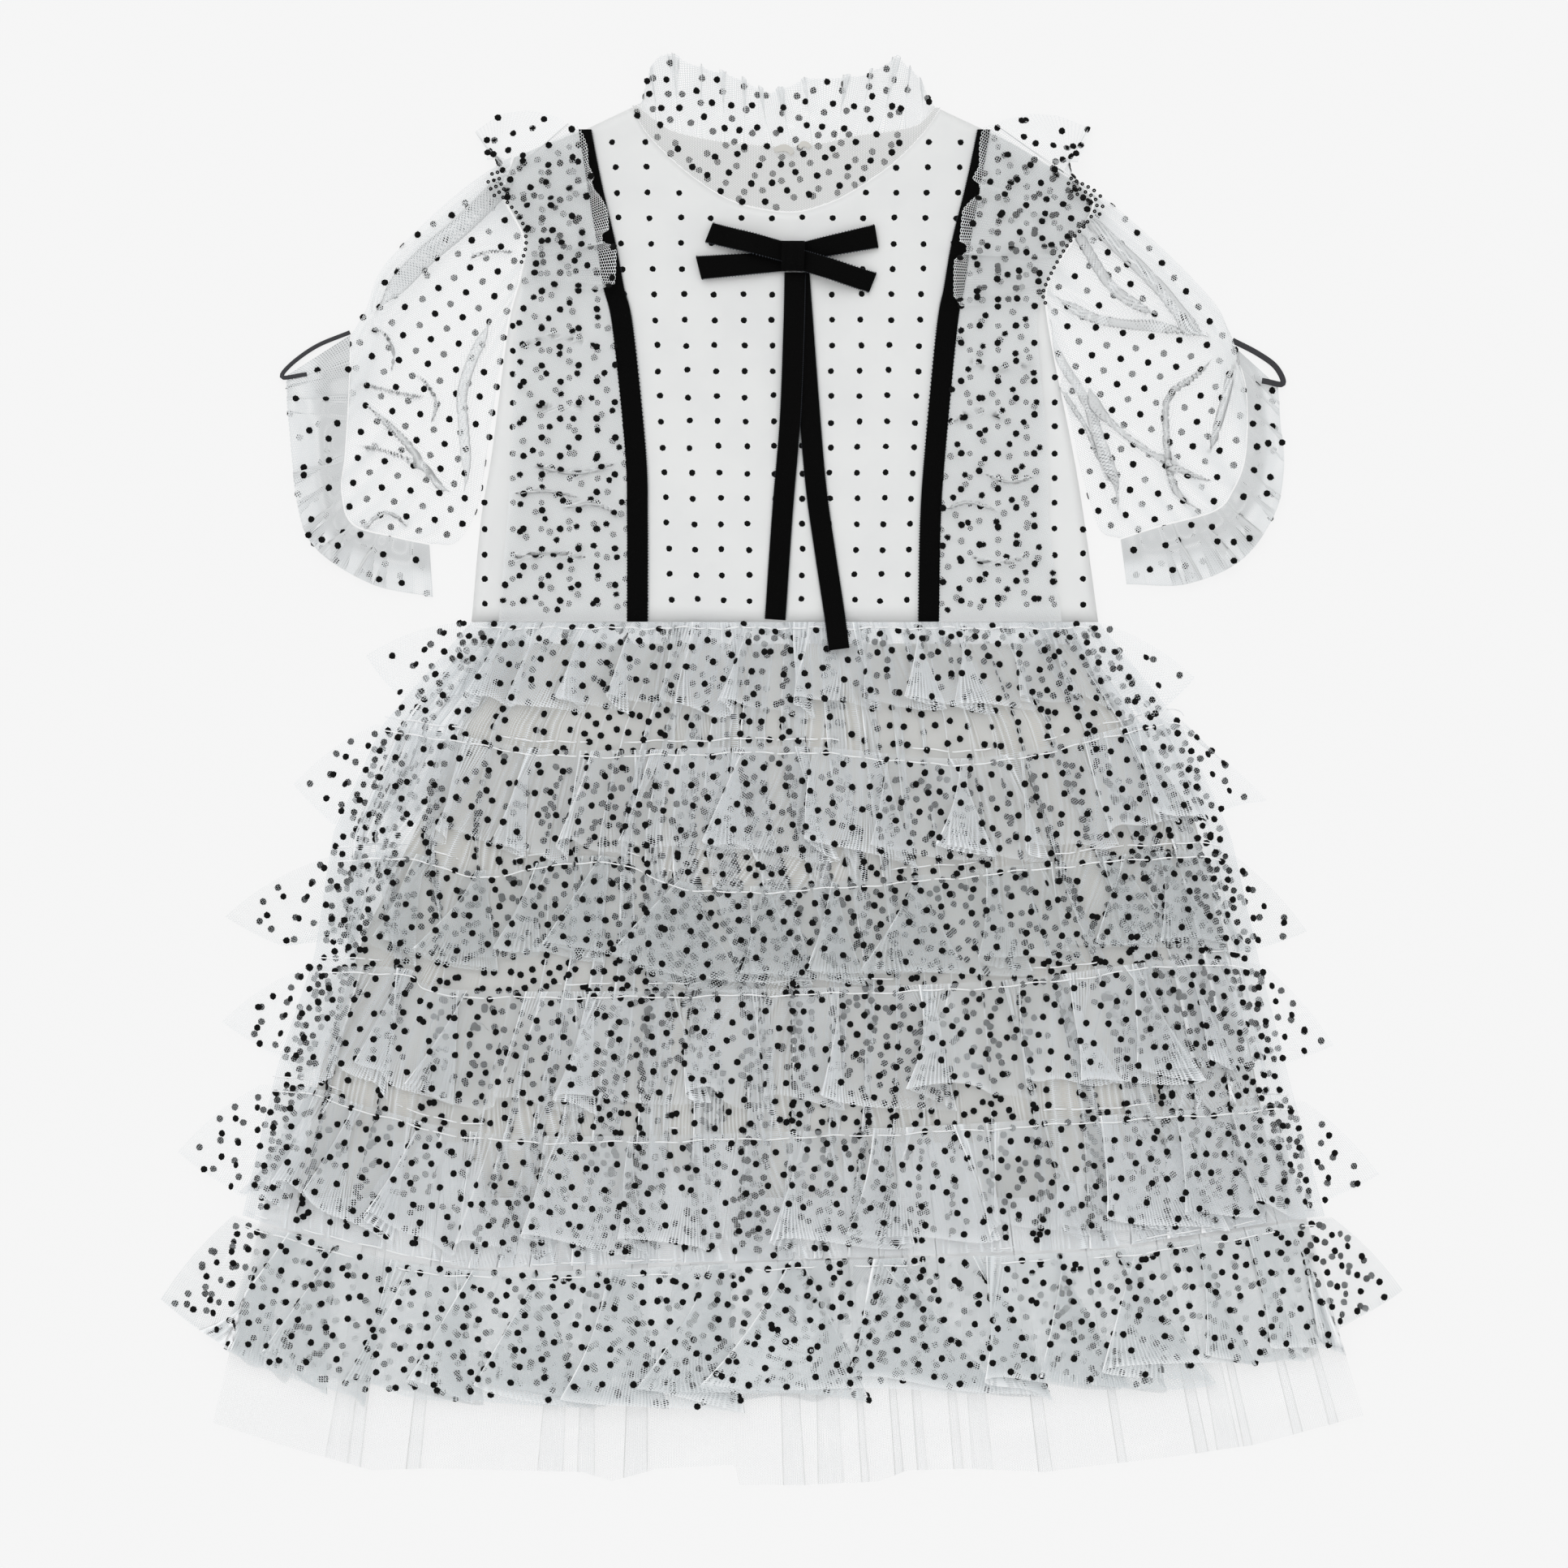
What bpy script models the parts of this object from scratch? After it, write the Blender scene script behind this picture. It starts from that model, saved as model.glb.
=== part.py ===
"""A child's tiered party dress of dotted tulle, laid flat on its back with its front up.

The origin is the middle of the ground under the dress. X runs across it from its right
sleeve to its left one, as seen from above with the collar at the top, Y runs from the hem
to the collar, and Z points up. Every panel is a thin wall of cloth, and the panels lie on
each other: the back ruffles on the ground, then the back skirt, the lining, the front
skirt and the front ruffles. Seams keep a gap of SEAM between their two pieces.
"""

from math import atan2, cos, dist, pi, radians, sin

import bmesh
import bpy

MM = 0.001
ROUNDING = 1e-9

# Driving sizes, in millimetres
CLOTH = 1.0
SEAM = 0.3
STEP = CLOTH + SEAM
VELVET = 1.2
RIBBON_WIDTH = 11.0
RIBBON_TAPER = 0.62
RIBBON_TAPER_ROWS = 3
WAIST_Y = 80.5
OPENING_X = 6.0
LINING_DROP = 12.0
WAIST_LIFT = 10.0
WAIST_RISE = 25.0
SIDE_FALL = 0.02
SIDE_REACH = 14.0
FRONT_WAVE = 7.0
TIP_WAVE = 2.5
BACK_WAVE = 1.2
BODICE_LOFT = 1.0
GATHER_DEPTH = 1.2
GATHER_LEAN = 0.06
OVERLAY_WAVES = 4
REST_DEPTH = 0.2
COLLAR_WAVES = 14
COLLAR_WAVE = 3.0

# The lie of the ruffles: shares of their length and width, and angles in degrees
HEM_UNEVEN = 0.04
WAVE_UNEVEN = 0.28
SIDE_CROWDING = 0.05
WAVE_SPREAD = 0.006
FAN_ANGLE = 24
TIP_SHARPNESS = 40
UNEVEN_RUNS = (17, 41, 23)

# The bodice in sections from shoulder to waist: where each seam crosses the section
BODICE_ROWS = (
    # left_side, left_ribbon, right_ribbon, right_side: (x, y) of each
    ((-145, 332), (-106.5, 347), (109.5, 347), (138, 332)),
    ((-150, 312), (-101, 316), (103.5, 316), (168, 310)),
    ((-139, 288), (-95, 286), (97.5, 288), (157, 287)),
    ((-141, 268), (-91, 262), (93.5, 262), (144, 264)),
    ((-148, 240), (-86, 240), (89.5, 240), (144.5, 240)),
    ((-157, 172), (-79, 172), (83, 172), (158, 172)),
    ((-163, 135), (-78, 135), (80.5, 135), (164.5, 132)),
    ((-168, WAIST_Y), (-78, WAIST_Y), (79.5, WAIST_Y), (171.5, WAIST_Y)),
)
# The neckline of the bodice from the left neck point to the right one
NECKLINE = (
    # x, y
    (-81, 359), (-74, 346), (-62, 333), (-48, 321), (-31, 310), (-15, 304.5), (OPENING_X, 302),
    (23, 306), (38, 313), (60, 328), (77, 345), (86, 358),
)
# The seam between yoke and collar, point for point above the neckline
COLLAR_SEAM = (
    # x, y
    (-78.5, 360.5), (-68, 352), (-59, 346.5), (-46, 343), (-31, 340.5), (-15, 339), (OPENING_X, 338),
    (23, 340), (38, 343.5), (60, 346.5), (74, 350), (83, 359),
)
# The free edge of the collar, from left to right
COLLAR_EDGE = (
    # x, y
    (-75, 361), (-73, 374), (-65, 388), (-48, 383), (-39, 380), (-25, 376), (-18, 373), (-8, 368),
    (1, 370), (15, 375), (37, 376), (49, 379), (62, 386), (69, 381), (74, 376), (82, 361),
)

# Each tier's seam from left to right, and how its ruffle drops and fans from there
TIERS = (
    # name, seam points (x, y), drop, drop at a side tip, angle of a tip, front and back waves
    ("ruffle_1", ((-170, WAIST_Y - SEAM / 2), (172, WAIST_Y - SEAM / 2)), 45, 60, 65, 14, 6),
    (
        "ruffle_2",
        ((-220, 25), (-180, 20), (-117, 11), (9, 13), (107, 7), (206, 28), (218, 19)),
        51, 61, 48, 14, 6,
    ),
    (
        "ruffle_3",
        ((-246, -47), (-203, -44), (-163, -54), (-97, -46), (-41, -62), (57, -58), (201, -44),
         (245, -46)),
        52, 63, 58, 15, 6,
    ),
    (
        "ruffle_4",
        ((-257, -106), (-203, -107), (-163, -119), (92, -115), (213, -102), (261, -105)),
        51, 55, 55, 15, 6,
    ),
    (
        "ruffle_5",
        ((-282, -170), (-251, -172), (-218, -183), (-143, -197), (34, -194), (163, -187),
         (283, -179)),
        55, 57, 50, 16, 6,
    ),
    (
        "ruffle_6",
        ((-297, -241), (-269, -249), (-168, -270), (9, -265), (176, -259), (276, -244),
         (298, -242)),
        78, 59, 42, 16, 8,
    ),
)
FIRST_RUFFLE_ROWS = (0.0, 0.22, 0.55, 1.0)
RUFFLE_ROWS = (0.0, 0.45, 1.0)

# The side edges of the base skirt and of its lining
BASE_SIDES = (
    # y, left, right
    (WAIST_Y, -168, 171.5), (25, -216, 216), (-34, -243, 243), (-101, -253, 258),
    (-160, -273, 273), (-241, -292, 294), (-272, -296, 299),
)
LINING_SIDES = (
    # y, left, right
    (WAIST_Y - LINING_DROP, -154, 158), (-22, -193, 222), (-90, -226, 240), (-154, -248, 254),
    (-231, -262, 268),
)
# The petticoat hangs from the lining's hem: its seam there and its own hem, left to right
PETTICOAT_SEAM_Y = -231 - SEAM
PETTICOAT_SIDE = 272
PETTICOAT_HEM = (
    # x, y
    (-308, -353), (-269, -366), (-222, -379), (-193, -378), (-150, -379), (-108, -380), (-92, -385),
    (-67, -378), (-25, -376), (-24, -387), (14, -387), (53, -385), (68, -379), (99, -378),
    (142, -380), (174, -376), (209, -372), (257, -365), (315, -349),
)
PETTICOAT_DEPTHS = (
    # share of its length, height of its back layer's underside
    (0, 2 * STEP + BACK_WAVE), (0.25, 2 * STEP + BACK_WAVE), (0.37, STEP + BACK_WAVE),
    (0.8, STEP + BACK_WAVE), (0.92, 0.4), (1, 0),
)
PETTICOAT_HEM_STEP = (0.455, 0.4565)
PETTICOAT_FOLDS = (
    # place across from 0 to 1, half width, height
    (0.145, 0.016, 1.4), (0.24, 0.018, 1.2), (0.335, 0.02, 1.5), (0.44, 0.016, 1.1),
    (0.50, 0.02, 1.5), (0.58, 0.014, 1.3), (0.64, 0.016, 1.0), (0.705, 0.02, 1.5),
    (0.80, 0.016, 1.1), (0.875, 0.016, 1.3),
)

# The sleeves: their outline between the armhole, the elastic's end and the underarm
SLEEVES = (
    # name, side, top fold, cuff line, underarm fold, edge of the flounce: (x, y) of each
    (
        "left", -1,
        ((-146, 333), (-170, 317), (-195, 295), (-217, 271), (-225, 250), (-233, 236)),
        ((-233, 236), (-234, 205), (-236, 172), (-238, 152), (-232, 134), (-209, 127),
         (-190, 123)),
        ((-160, 170), (-165, 142), (-176, 124), (-190, 123)),
        ((-268, 214), (-268, 206), (-267, 190), (-262, 143), (-252, 120), (-222, 101), (-189, 94)),
    ),
    (
        "right", 1,
        ((139.5, 333), (176, 309), (205, 284), (226, 263), (238, 248), (243, 231)),
        ((243, 231), (251, 208), (251, 172), (244, 152), (234, 141), (205, 133), (183, 126)),
        ((160.5, 170), (166, 149), (173, 130), (183, 126)),
        ((269, 208), (270, 190), (272, 164), (267, 139), (249, 114), (219, 101), (187, 101)),
    ),
)
SLEEVE_LOFT = 3.0
SLEEVE_FOLDS = 7
SLEEVE_FOLD_SHARE = 0.4
FLOUNCE_LOFT = 2.0
FLOUNCE_WAVES = 5
ARMHOLE_GAP = 1.0
CUFF_GAP = 0.8
ELASTICS = (
    # name, route (x, y), width
    ("left", ((-233.9, 237.5), (-252, 230), (-266, 220), (-270.5, 213)), 2.2),
    ("right", ((244.3, 233.1), (258, 226), (268, 218.5), (271.5, 209.5)), 3.0),
)

# The shoulder ruffles: the armhole seam they hang from and their free edge, from below up
SHOULDER_RUFFLES = (
    # name, seam (x, y), free edge (x, y)
    (
        "left",
        ((-144, 263), (-141, 275), (-139, 286), (-145, 303), (-153, 315), (-153, 324),
         (-146, 331)),
        ((-99, 260), (-91, 276), (-95, 300), (-103, 328), (-110, 347), (-135, 357), (-166, 345)),
    ),
    (
        "right",
        ((143, 254), (149, 275), (158, 288), (166, 300), (164, 314), (156, 322), (146, 330)),
        ((94, 253), (93, 272), (97, 297), (106, 318), (109, 345), (136, 354), (166, 347)),
    ),
)
SHOULDER_WAVES = 7
SHOULDER_WAVE = 3.0
SHOULDER_SEAM_WAVE = 0.3
SHOULDER_SLOPE = 0.4
SHOULDER_POINT_X = 142
SHOULDER_FALL = (4, 16)

# The bow: its knot, where each flat loop leaves it and ends, and the two tails
KNOT_LEFT, KNOT_RIGHT = 0.5, 12.0
KNOT_BOTTOM, KNOT_TOP = 270.3, 286.0
KNOT_HEIGHT = 7.0
KNOT_EDGE, KNOT_DOME_ALONG, KNOT_DOME_ACROSS = 0.55, 0.3, 0.15
LOOP_HOLLOW = 1.2
BOW_LOOPS = (
    # name, x at the knot, upper and lower y there, upper and lower corner of the tip, level
    ("upper_left", KNOT_LEFT - SEAM, 285.5, 275.0, (-37, 296), (-41, 286), 1),
    ("lower_left", KNOT_LEFT - SEAM, 280.5, 270.5, (-46, 278), (-43, 266), 0),
    ("upper_right", KNOT_RIGHT + SEAM, 285.5, 276.0, (50, 295), (52, 283), 0),
    ("lower_right", KNOT_RIGHT + SEAM, 281.5, 270.5, (51, 269), (47, 259), 1),
)
LOOP_STACK = ((0, 2.9), (0.42, 4.1), (0.8, 0))
BOW_TAILS = (
    # name, route of its middle (x, y) down from the knot, level at the knot
    ("right", ((9.5, 269.4), (15.5, 189), (19, 150), (24, 115), (28.5, 85), (31, 65.5)), 0),
    ("left", ((7.2, 269.4), (6.5, 240), (4.5, 189), (0.5, 140), (-3.5, 81.6)), 1),
)
TAIL_STACK = ((-188, 1), (-165, 0))
TAIL_OVER_WAIST = ((-90, 0), (-80, 2.0), (-72, 5.6), (-64, 7.8))
TAIL_ROWS = 10

COLOURS = {
    # name: (red, green, blue, roughness)
    "tulle": (0.60, 0.63, 0.66, 0.75),
    "cotton": (0.88, 0.88, 0.87, 0.85),
    "lining": (0.72, 0.71, 0.67, 0.85),
    "net": (0.80, 0.82, 0.83, 0.7),
    "velvet": (0.012, 0.012, 0.012, 0.9),
    "elastic": (0.03, 0.03, 0.035, 0.6),
}


def between(start, end, share):
    return start + (end - start) * share


def lookup(x, pairs):
    """The value at x of a line through (x, value) pairs, level beyond both ends."""
    if x <= pairs[0][0]:
        return pairs[0][1]
    for (x_start, start), (x_end, end) in zip(pairs, pairs[1:]):
        if x <= x_end:
            return between(start, end, (x - x_start) / (x_end - x_start))
    return pairs[-1][1]


def smooth(share):
    share = min(1.0, max(0.0, share))
    return share * share * (3 - 2 * share)


def along(points, share):
    """The point at a share of the length of a line through points, and its unit tangent."""
    lengths = [dist(start, end) for start, end in zip(points, points[1:])]
    left = share * sum(lengths)
    last = len(lengths) - 1
    for index, length in enumerate(lengths):
        if left <= length or index == last:
            start, end = points[index], points[index + 1]
            tangent = ((end[0] - start[0]) / length, (end[1] - start[1]) / length)
            part = min(1.0, left / length)
            return (between(start[0], end[0], part), between(start[1], end[1], part)), tangent
        left -= length


def knots(points, share):
    """The point at a share of the way along points, each stretch counting alike."""
    place = share * (len(points) - 1)
    index = min(int(place + ROUNDING), len(points) - 2)
    start, end = points[index], points[index + 1]
    part = place - index
    return between(start[0], end[0], part), between(start[1], end[1], part)


def fold(waves, across):
    """The height, from 0 to 1, of a row of waves."""
    return 0.5 - 0.5 * cos(2 * pi * waves * across)


def material(name):
    made = bpy.data.materials.get(name)
    if made is None:
        made = bpy.data.materials.new(name)
        made.use_nodes = True
        red, green, blue, roughness = COLOURS[name]
        shader = made.node_tree.nodes["Principled BSDF"]
        shader.inputs["Base Color"].default_value = (red, green, blue, 1)
        shader.inputs["Roughness"].default_value = roughness
    return made


def finish(name, bm, cloth):
    bmesh.ops.recalc_face_normals(bm, faces=bm.faces)
    if bm.calc_volume(signed=True) < 0:
        bmesh.ops.reverse_faces(bm, faces=bm.faces)
    mesh = bpy.data.meshes.new(name)
    bm.to_mesh(mesh)
    bm.free()
    mesh.shade_smooth()
    mesh.set_sharp_from_angle(angle=radians(50))
    mesh.materials.append(material(cloth))
    made = bpy.data.objects.new(name, mesh)
    bpy.context.scene.collection.objects.link(made)


def thicken(bm):
    """Gives an open blank a second face. Returns the points of the first one and the second."""
    first = list(bm.verts)
    copied = bmesh.ops.extrude_face_region(bm, geom=list(bm.faces), use_keep_orig=True)
    second = [part for part in copied["geom"] if isinstance(part, bmesh.types.BMVert)]
    return first, second


def sheet(name, columns, rows, place, cloth, thickness=CLOTH):
    """A wall of cloth. place(column, row) gives x, y, its underside's z, and maybe its top's."""
    bm = bmesh.new()
    bmesh.ops.create_grid(bm, x_segments=columns, y_segments=rows, size=0.5)
    lower, upper = thicken(bm)
    for verts, is_top in ((lower, False), (upper, True)):
        for vert in verts:
            column, row = round((vert.co.x + 0.5) * columns), round((0.5 - vert.co.y) * rows)
            x, y, low, *top = place(column, row)
            high = top[0] if top else low + thickness
            vert.co = (x * MM, y * MM, (high if is_top else low) * MM)
    finish(name, bm, cloth)


def flat_tube(name, half, rows, spot, hollow, cloth, height=None):
    """A tube of cloth laid flat, open at both ends.

    spot(across, down) is its outline in x and y, hollow(across, down) the height of the
    space in it, and height(x, y, across) that of its underside. A ring of the tube has
    half + 1 columns of its lower layer, then as many of its upper one.
    """
    bm = bmesh.new()
    columns = 2 * (half + 1)
    line = [bm.verts.new((1, 0, row)) for row in range(rows + 1)]
    edges = [bm.edges.new(pair) for pair in zip(line, line[1:])]
    bmesh.ops.spin(
        bm, geom=line + edges, cent=(0, 0, 0), axis=(0, 0, 1), angle=2 * pi, steps=columns,
        use_merge=True,
    )
    outer, inner = thicken(bm)
    for verts, is_inner in ((outer, False), (inner, True)):
        for vert in verts:
            column = round(atan2(vert.co.y, vert.co.x) / (2 * pi) * columns) % columns
            is_upper = column > half
            across = (columns - 1 - column if is_upper else column) / half
            down = vert.co.z / rows
            inset = CLOTH / dist(spot(0, down), spot(1, down)) if is_inner else 0
            x, y = spot(between(inset, 1 - inset, across), down)
            z = height(x, y, across) if height else 0.0
            if is_upper:
                z += 2 * CLOTH + hollow(across, down)
            if is_inner:
                z += -CLOTH if is_upper else CLOTH
            vert.co = (x * MM, y * MM, z * MM)
    finish(name, bm, cloth)


def clear_scene():
    for old in list(bpy.data.objects):
        bpy.data.objects.remove(old, do_unlink=True)


# Heights of the layers in the stack

def panel_height(x, y):
    """The underside of the bodice's front, which rises to the stack of the skirt's waist."""
    shoulder_y = BODICE_ROWS[0][0][1]
    down = (shoulder_y - y) / (shoulder_y - WAIST_Y)
    across = min(1.0, abs(x) / BODICE_ROWS[-1][3][0])
    return STEP + STEP * smooth(2 * down - 1) + BODICE_LOFT * (1 - across * across)


def base_back_height(y):
    return lookup(WAIST_Y - y, ((0, STEP), (WAIST_RISE, STEP + BACK_WAVE)))


def base_front_height(y, across):
    """The underside of the skirt's front: down on its back at the waist and at the sides."""
    lift = lookup(WAIST_Y - y, ((0, STEP), (WAIST_LIFT, 3 * STEP)))
    side = min(across, 1 - across)
    return base_back_height(y) + lookup(side, ((0, STEP), (SIDE_FALL, lift)))


def side_edges(sides, y):
    """The left and right edges of a layer at a height on the dress."""
    left = lookup(-y, [(-row_y, start) for row_y, start, _ in sides])
    right = lookup(-y, [(-row_y, end) for row_y, _, end in sides])
    return left, right


def ruffle_ground(x, y):
    """The height on which a front ruffle lies, down to the back ruffle past the sides."""
    left, right = side_edges(BASE_SIDES, y)
    inside = min(x - left, right - x)
    low = STEP + BACK_WAVE + 0.1
    high = base_front_height(y, 0.5) + STEP + 0.5
    return between(low, high, smooth(1 + inside / SIDE_REACH))


# The bodice

TOP_LEFT = (BODICE_ROWS[0][0], (-126, 339.5), BODICE_ROWS[0][1])
TOP_RIGHT = (BODICE_ROWS[0][2], (124, 340), BODICE_ROWS[0][3])
BODICE_TOP = TOP_LEFT + NECKLINE + TOP_RIGHT
LEFT_RIBBON = len(TOP_LEFT) - 1
RIGHT_RIBBON = len(TOP_LEFT) + len(NECKLINE)
LAST_COLUMN = len(BODICE_TOP) - 1
OPENING_COLUMN = len(TOP_LEFT) + [x for x, y in NECKLINE].index(OPENING_X)
LAST_ROW = len(BODICE_ROWS) - 1


def bodice_point(column, row):
    """The point of the bodice on a column and a row, which all its pieces share."""
    side_left, ribbon_left, ribbon_right, side_right = BODICE_ROWS[row]
    top_x, top_y = BODICE_TOP[column]
    if row == 0:
        return top_x, top_y
    if column <= LEFT_RIBBON:
        share = column / LEFT_RIBBON
        return between(side_left[0], ribbon_left[0], share), between(
            side_left[1], ribbon_left[1], share
        )
    if column >= RIGHT_RIBBON:
        share = (column - RIGHT_RIBBON) / (LAST_COLUMN - RIGHT_RIBBON)
        return between(ribbon_right[0], side_right[0], share), between(
            ribbon_right[1], side_right[1], share
        )
    top_left, top_right = BODICE_TOP[LEFT_RIBBON], BODICE_TOP[RIGHT_RIBBON]
    share = (top_x - top_left[0]) / (top_right[0] - top_left[0])
    shoulder_y = between(top_left[1], top_right[1], share)
    fall = (shoulder_y - between(ribbon_left[1], ribbon_right[1], share)) / (shoulder_y - WAIST_Y)
    x = between(ribbon_left[0], ribbon_right[0], share)
    return between(top_x, x, smooth(fall)), between(top_y, WAIST_Y, fall)


def bodice_piece(name, first, last, height):
    """A panel of the bodice between two of its columns, half a seam short of its edges."""

    def place(column, row):
        x, y = bodice_point(first + column, row)
        x += SEAM / 2 * ((column == 0) - (first + column == last))
        y += SEAM / 2 * (row == LAST_ROW)
        return x, y, height(x, y)

    sheet(name, last - first, LAST_ROW, place, "cotton")


def ground(x, y):
    return 0.0


def bodice():
    bodice_piece("back_bodice_left", 0, OPENING_COLUMN, ground)
    bodice_piece("back_bodice_right", OPENING_COLUMN, LAST_COLUMN, ground)
    bodice_piece("side_panel_left", 0, LEFT_RIBBON, panel_height)
    bodice_piece("front_centre_panel", LEFT_RIBBON, RIGHT_RIBBON, panel_height)
    bodice_piece("side_panel_right", RIGHT_RIBBON, LAST_COLUMN, panel_height)


def yoke(name, height):
    """Sheer tulle fills the neckline up to the collar."""
    last = len(NECKLINE) - 1

    def place(column, row):
        seam_x, seam_y = COLLAR_SEAM[column]
        neck_x, neck_y = NECKLINE[column]
        inward = 1.6 * SEAM * (1 - 2 * column / last)
        x = between(seam_x, neck_x + inward, row / 2)
        y = between(seam_y - SEAM, neck_y + 1.5 * SEAM, row / 2)
        return x, y, height(x, y)

    sheet(name, last, 2, place, "tulle")


def collar_ruffle(name, level, depth):
    """One layer of the standing ruffle of the neck, laid flat in fine folds."""
    columns = 3 * COLLAR_WAVES

    def place(column, row):
        across, down = column / columns, row / 2
        (seam_x, seam_y), _ = along(COLLAR_SEAM, across)
        edge_x, edge_y = knots(COLLAR_EDGE, across)
        wave = depth * down * fold(COLLAR_WAVES, across)
        low = level * (STEP + BACK_WAVE * smooth(3 * down)) + wave
        x, y = between(seam_x, edge_x, down), between(seam_y + SEAM, edge_y, down)
        return x, y, max(0.0, low - REST_DEPTH * (1 - level)), low + CLOTH

    sheet(name, columns, 2, place, "tulle")


def ribbon_width(row):
    """The ribbons narrow to the shoulder."""
    return RIBBON_WIDTH * between(RIBBON_TAPER, 1, smooth(row / RIBBON_TAPER_ROWS))


def velvet_ribbon(name, column, inwards):
    """A velvet ribbon covers the seam between the centre panel and a side panel."""

    def place(across, row):
        x, y = bodice_point(column, row)
        x += inwards * ribbon_width(row) * (across / 2 - 0.5)
        y += SEAM / 2 if row == LAST_ROW else 0
        return x, y, panel_height(x, y) + STEP

    sheet(name, 2, LAST_ROW, place, "velvet", VELVET)


def side_overlay(name, inner, outer, outwards, waist_gap):
    """Gathered tulle over a side panel, from the ribbon to just short of the side seam."""
    columns = 3 * OVERLAY_WAVES

    def place(column, row):
        across, down = column / columns, row / LAST_ROW
        start_x, start_y = bodice_point(inner, row)
        end_x, end_y = bodice_point(outer, row)
        start_x += outwards * (ribbon_width(row) / 2 + SEAM)
        end_x -= outwards * between(1, waist_gap, smooth(2 * down - 0.8))
        wave = GATHER_DEPTH * fold(OVERLAY_WAVES, across + GATHER_LEAN * sin(4 * down))
        x, y = between(start_x, end_x, across), between(start_y, end_y, across)
        y += SEAM / 2 if row == LAST_ROW else 0
        return x, y, panel_height(x, y) + STEP + 0.1 + wave

    sheet(name, columns, LAST_ROW, place, "tulle")


def shoulder_ruffle(name, seam, edge):
    """A cap of gathered tulle over a shoulder, from the armhole seam to its free edge."""
    columns = 4 * SHOULDER_WAVES

    def place(column, row):
        across, down = column / columns, row / 2
        seam_x, seam_y = knots(seam, across)
        edge_x, edge_y = knots(edge, across)
        x, y = between(seam_x, edge_x, down), between(seam_y, edge_y, down)
        wave = SHOULDER_WAVE * between(SHOULDER_SEAM_WAVE, 1, down) * fold(SHOULDER_WAVES, across)
        on_bodice = panel_height(x, y) + 2 * STEP + GATHER_DEPTH + SEAM
        shoulder_y = BODICE_ROWS[0][0][1] + SHOULDER_SLOPE * (SHOULDER_POINT_X - abs(x))
        fall_start, fall_end = SHOULDER_FALL
        past = smooth((y - shoulder_y - fall_start) / (fall_end - fall_start))
        return x, y, between(on_bodice, STEP, past) + wave

    sheet(name, columns, 2, place, "tulle")


# The sleeves

def patch(top, bottom, start, end, across, down):
    """A point inside four lines: across from top to bottom, down from start to end."""
    first, last = along(top, down)[0], along(bottom, down)[0]
    left, right = knots(start, across), along(end, across)[0]
    spot = []
    for axis in (0, 1):
        ruled = between(first[axis], last[axis], across) + between(left[axis], right[axis], down)
        corners = between(
            between(start[0][axis], start[-1][axis], across),
            between(end[0][axis], end[-1][axis], across),
            down,
        )
        spot.append(ruled - corners)
    return spot


def sleeve(name, side, top, cuff, underarm, edge):
    """A puffed tulle sleeve, flattened, and the flounce past its gathered cuff."""
    column = 0 if side < 0 else LAST_COLUMN
    inner_rows = range(1, LAST_ROW - 2)
    armhole = [top[0]]
    for row in inner_rows:
        x, y = bodice_point(column, row)
        armhole.append((x + side * ARMHOLE_GAP, y))
    armhole.append(underarm[0])

    def sleeve_spot(across, down):
        return patch(top, underarm, armhole, cuff, across, down)

    def sleeve_hollow(across, down):
        folds = down * sin(SLEEVE_FOLDS * pi * across) ** 2
        puff = between(sin(pi * across), folds, SLEEVE_FOLD_SHARE)
        return SEAM + SLEEVE_LOFT * puff * sin(pi * between(0.12, 0.88, down))

    def flounce_spot(across, down):
        (cuff_x, cuff_y), _ = along(cuff, across)
        edge_x, edge_y = knots(edge, across)
        cuff_x += side * CUFF_GAP
        cuff_y -= CUFF_GAP * smooth(2 * across - 0.6)
        return between(cuff_x, edge_x, down), between(cuff_y, edge_y, down)

    def flounce_hollow(across, down):
        return SEAM + FLOUNCE_LOFT * down * sin(FLOUNCE_WAVES * pi * across) ** 2

    half = 2 * (len(armhole) - 1)
    flat_tube("sleeve_" + name, half, 5, sleeve_spot, sleeve_hollow, "tulle")
    flat_tube("cuff_flounce_" + name, half, 2, flounce_spot, flounce_hollow, "tulle")


def strip(name, route, width, rows, height, cloth, thickness):
    """A narrow strip of one width along a route."""

    def place(column, row):
        (x, y), (run_x, run_y) = along(route, row / rows)
        x -= run_y * width * (column - 0.5)
        y += run_x * width * (column - 0.5)
        return x, y, height(x, y)

    sheet(name, 1, rows, place, cloth, thickness)


# The bow

def bow_loop(name, knot_x, knot_top, knot_bottom, tip_top, tip_bottom, level):
    def spot(across, down):
        knot_y = between(knot_top, knot_bottom, down)
        tip_x = between(tip_top[0], tip_bottom[0], down)
        tip_y = between(tip_top[1], tip_bottom[1], down)
        return between(knot_x, tip_x, across), between(knot_y, tip_y, across)

    def hollow(across, down):
        return SEAM + LOOP_HOLLOW * smooth(2 * across)

    def height(x, y, across):
        return panel_height(x, y) + STEP + level * lookup(across, LOOP_STACK)

    flat_tube("bow_loop_" + name, 7, 1, spot, hollow, "velvet", height)


def bow_knot():
    def place(column, row):
        across, down = column / 4, row / 6
        x, y = between(KNOT_LEFT, KNOT_RIGHT, across), between(KNOT_TOP, KNOT_BOTTOM, down)
        low = panel_height(x, y) + STEP
        dome = KNOT_EDGE + KNOT_DOME_ALONG * sin(pi * down) + KNOT_DOME_ACROSS * sin(pi * across)
        return x, y, low, low + KNOT_HEIGHT * dome

    sheet("bow_knot", 4, 6, place, "velvet")


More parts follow.
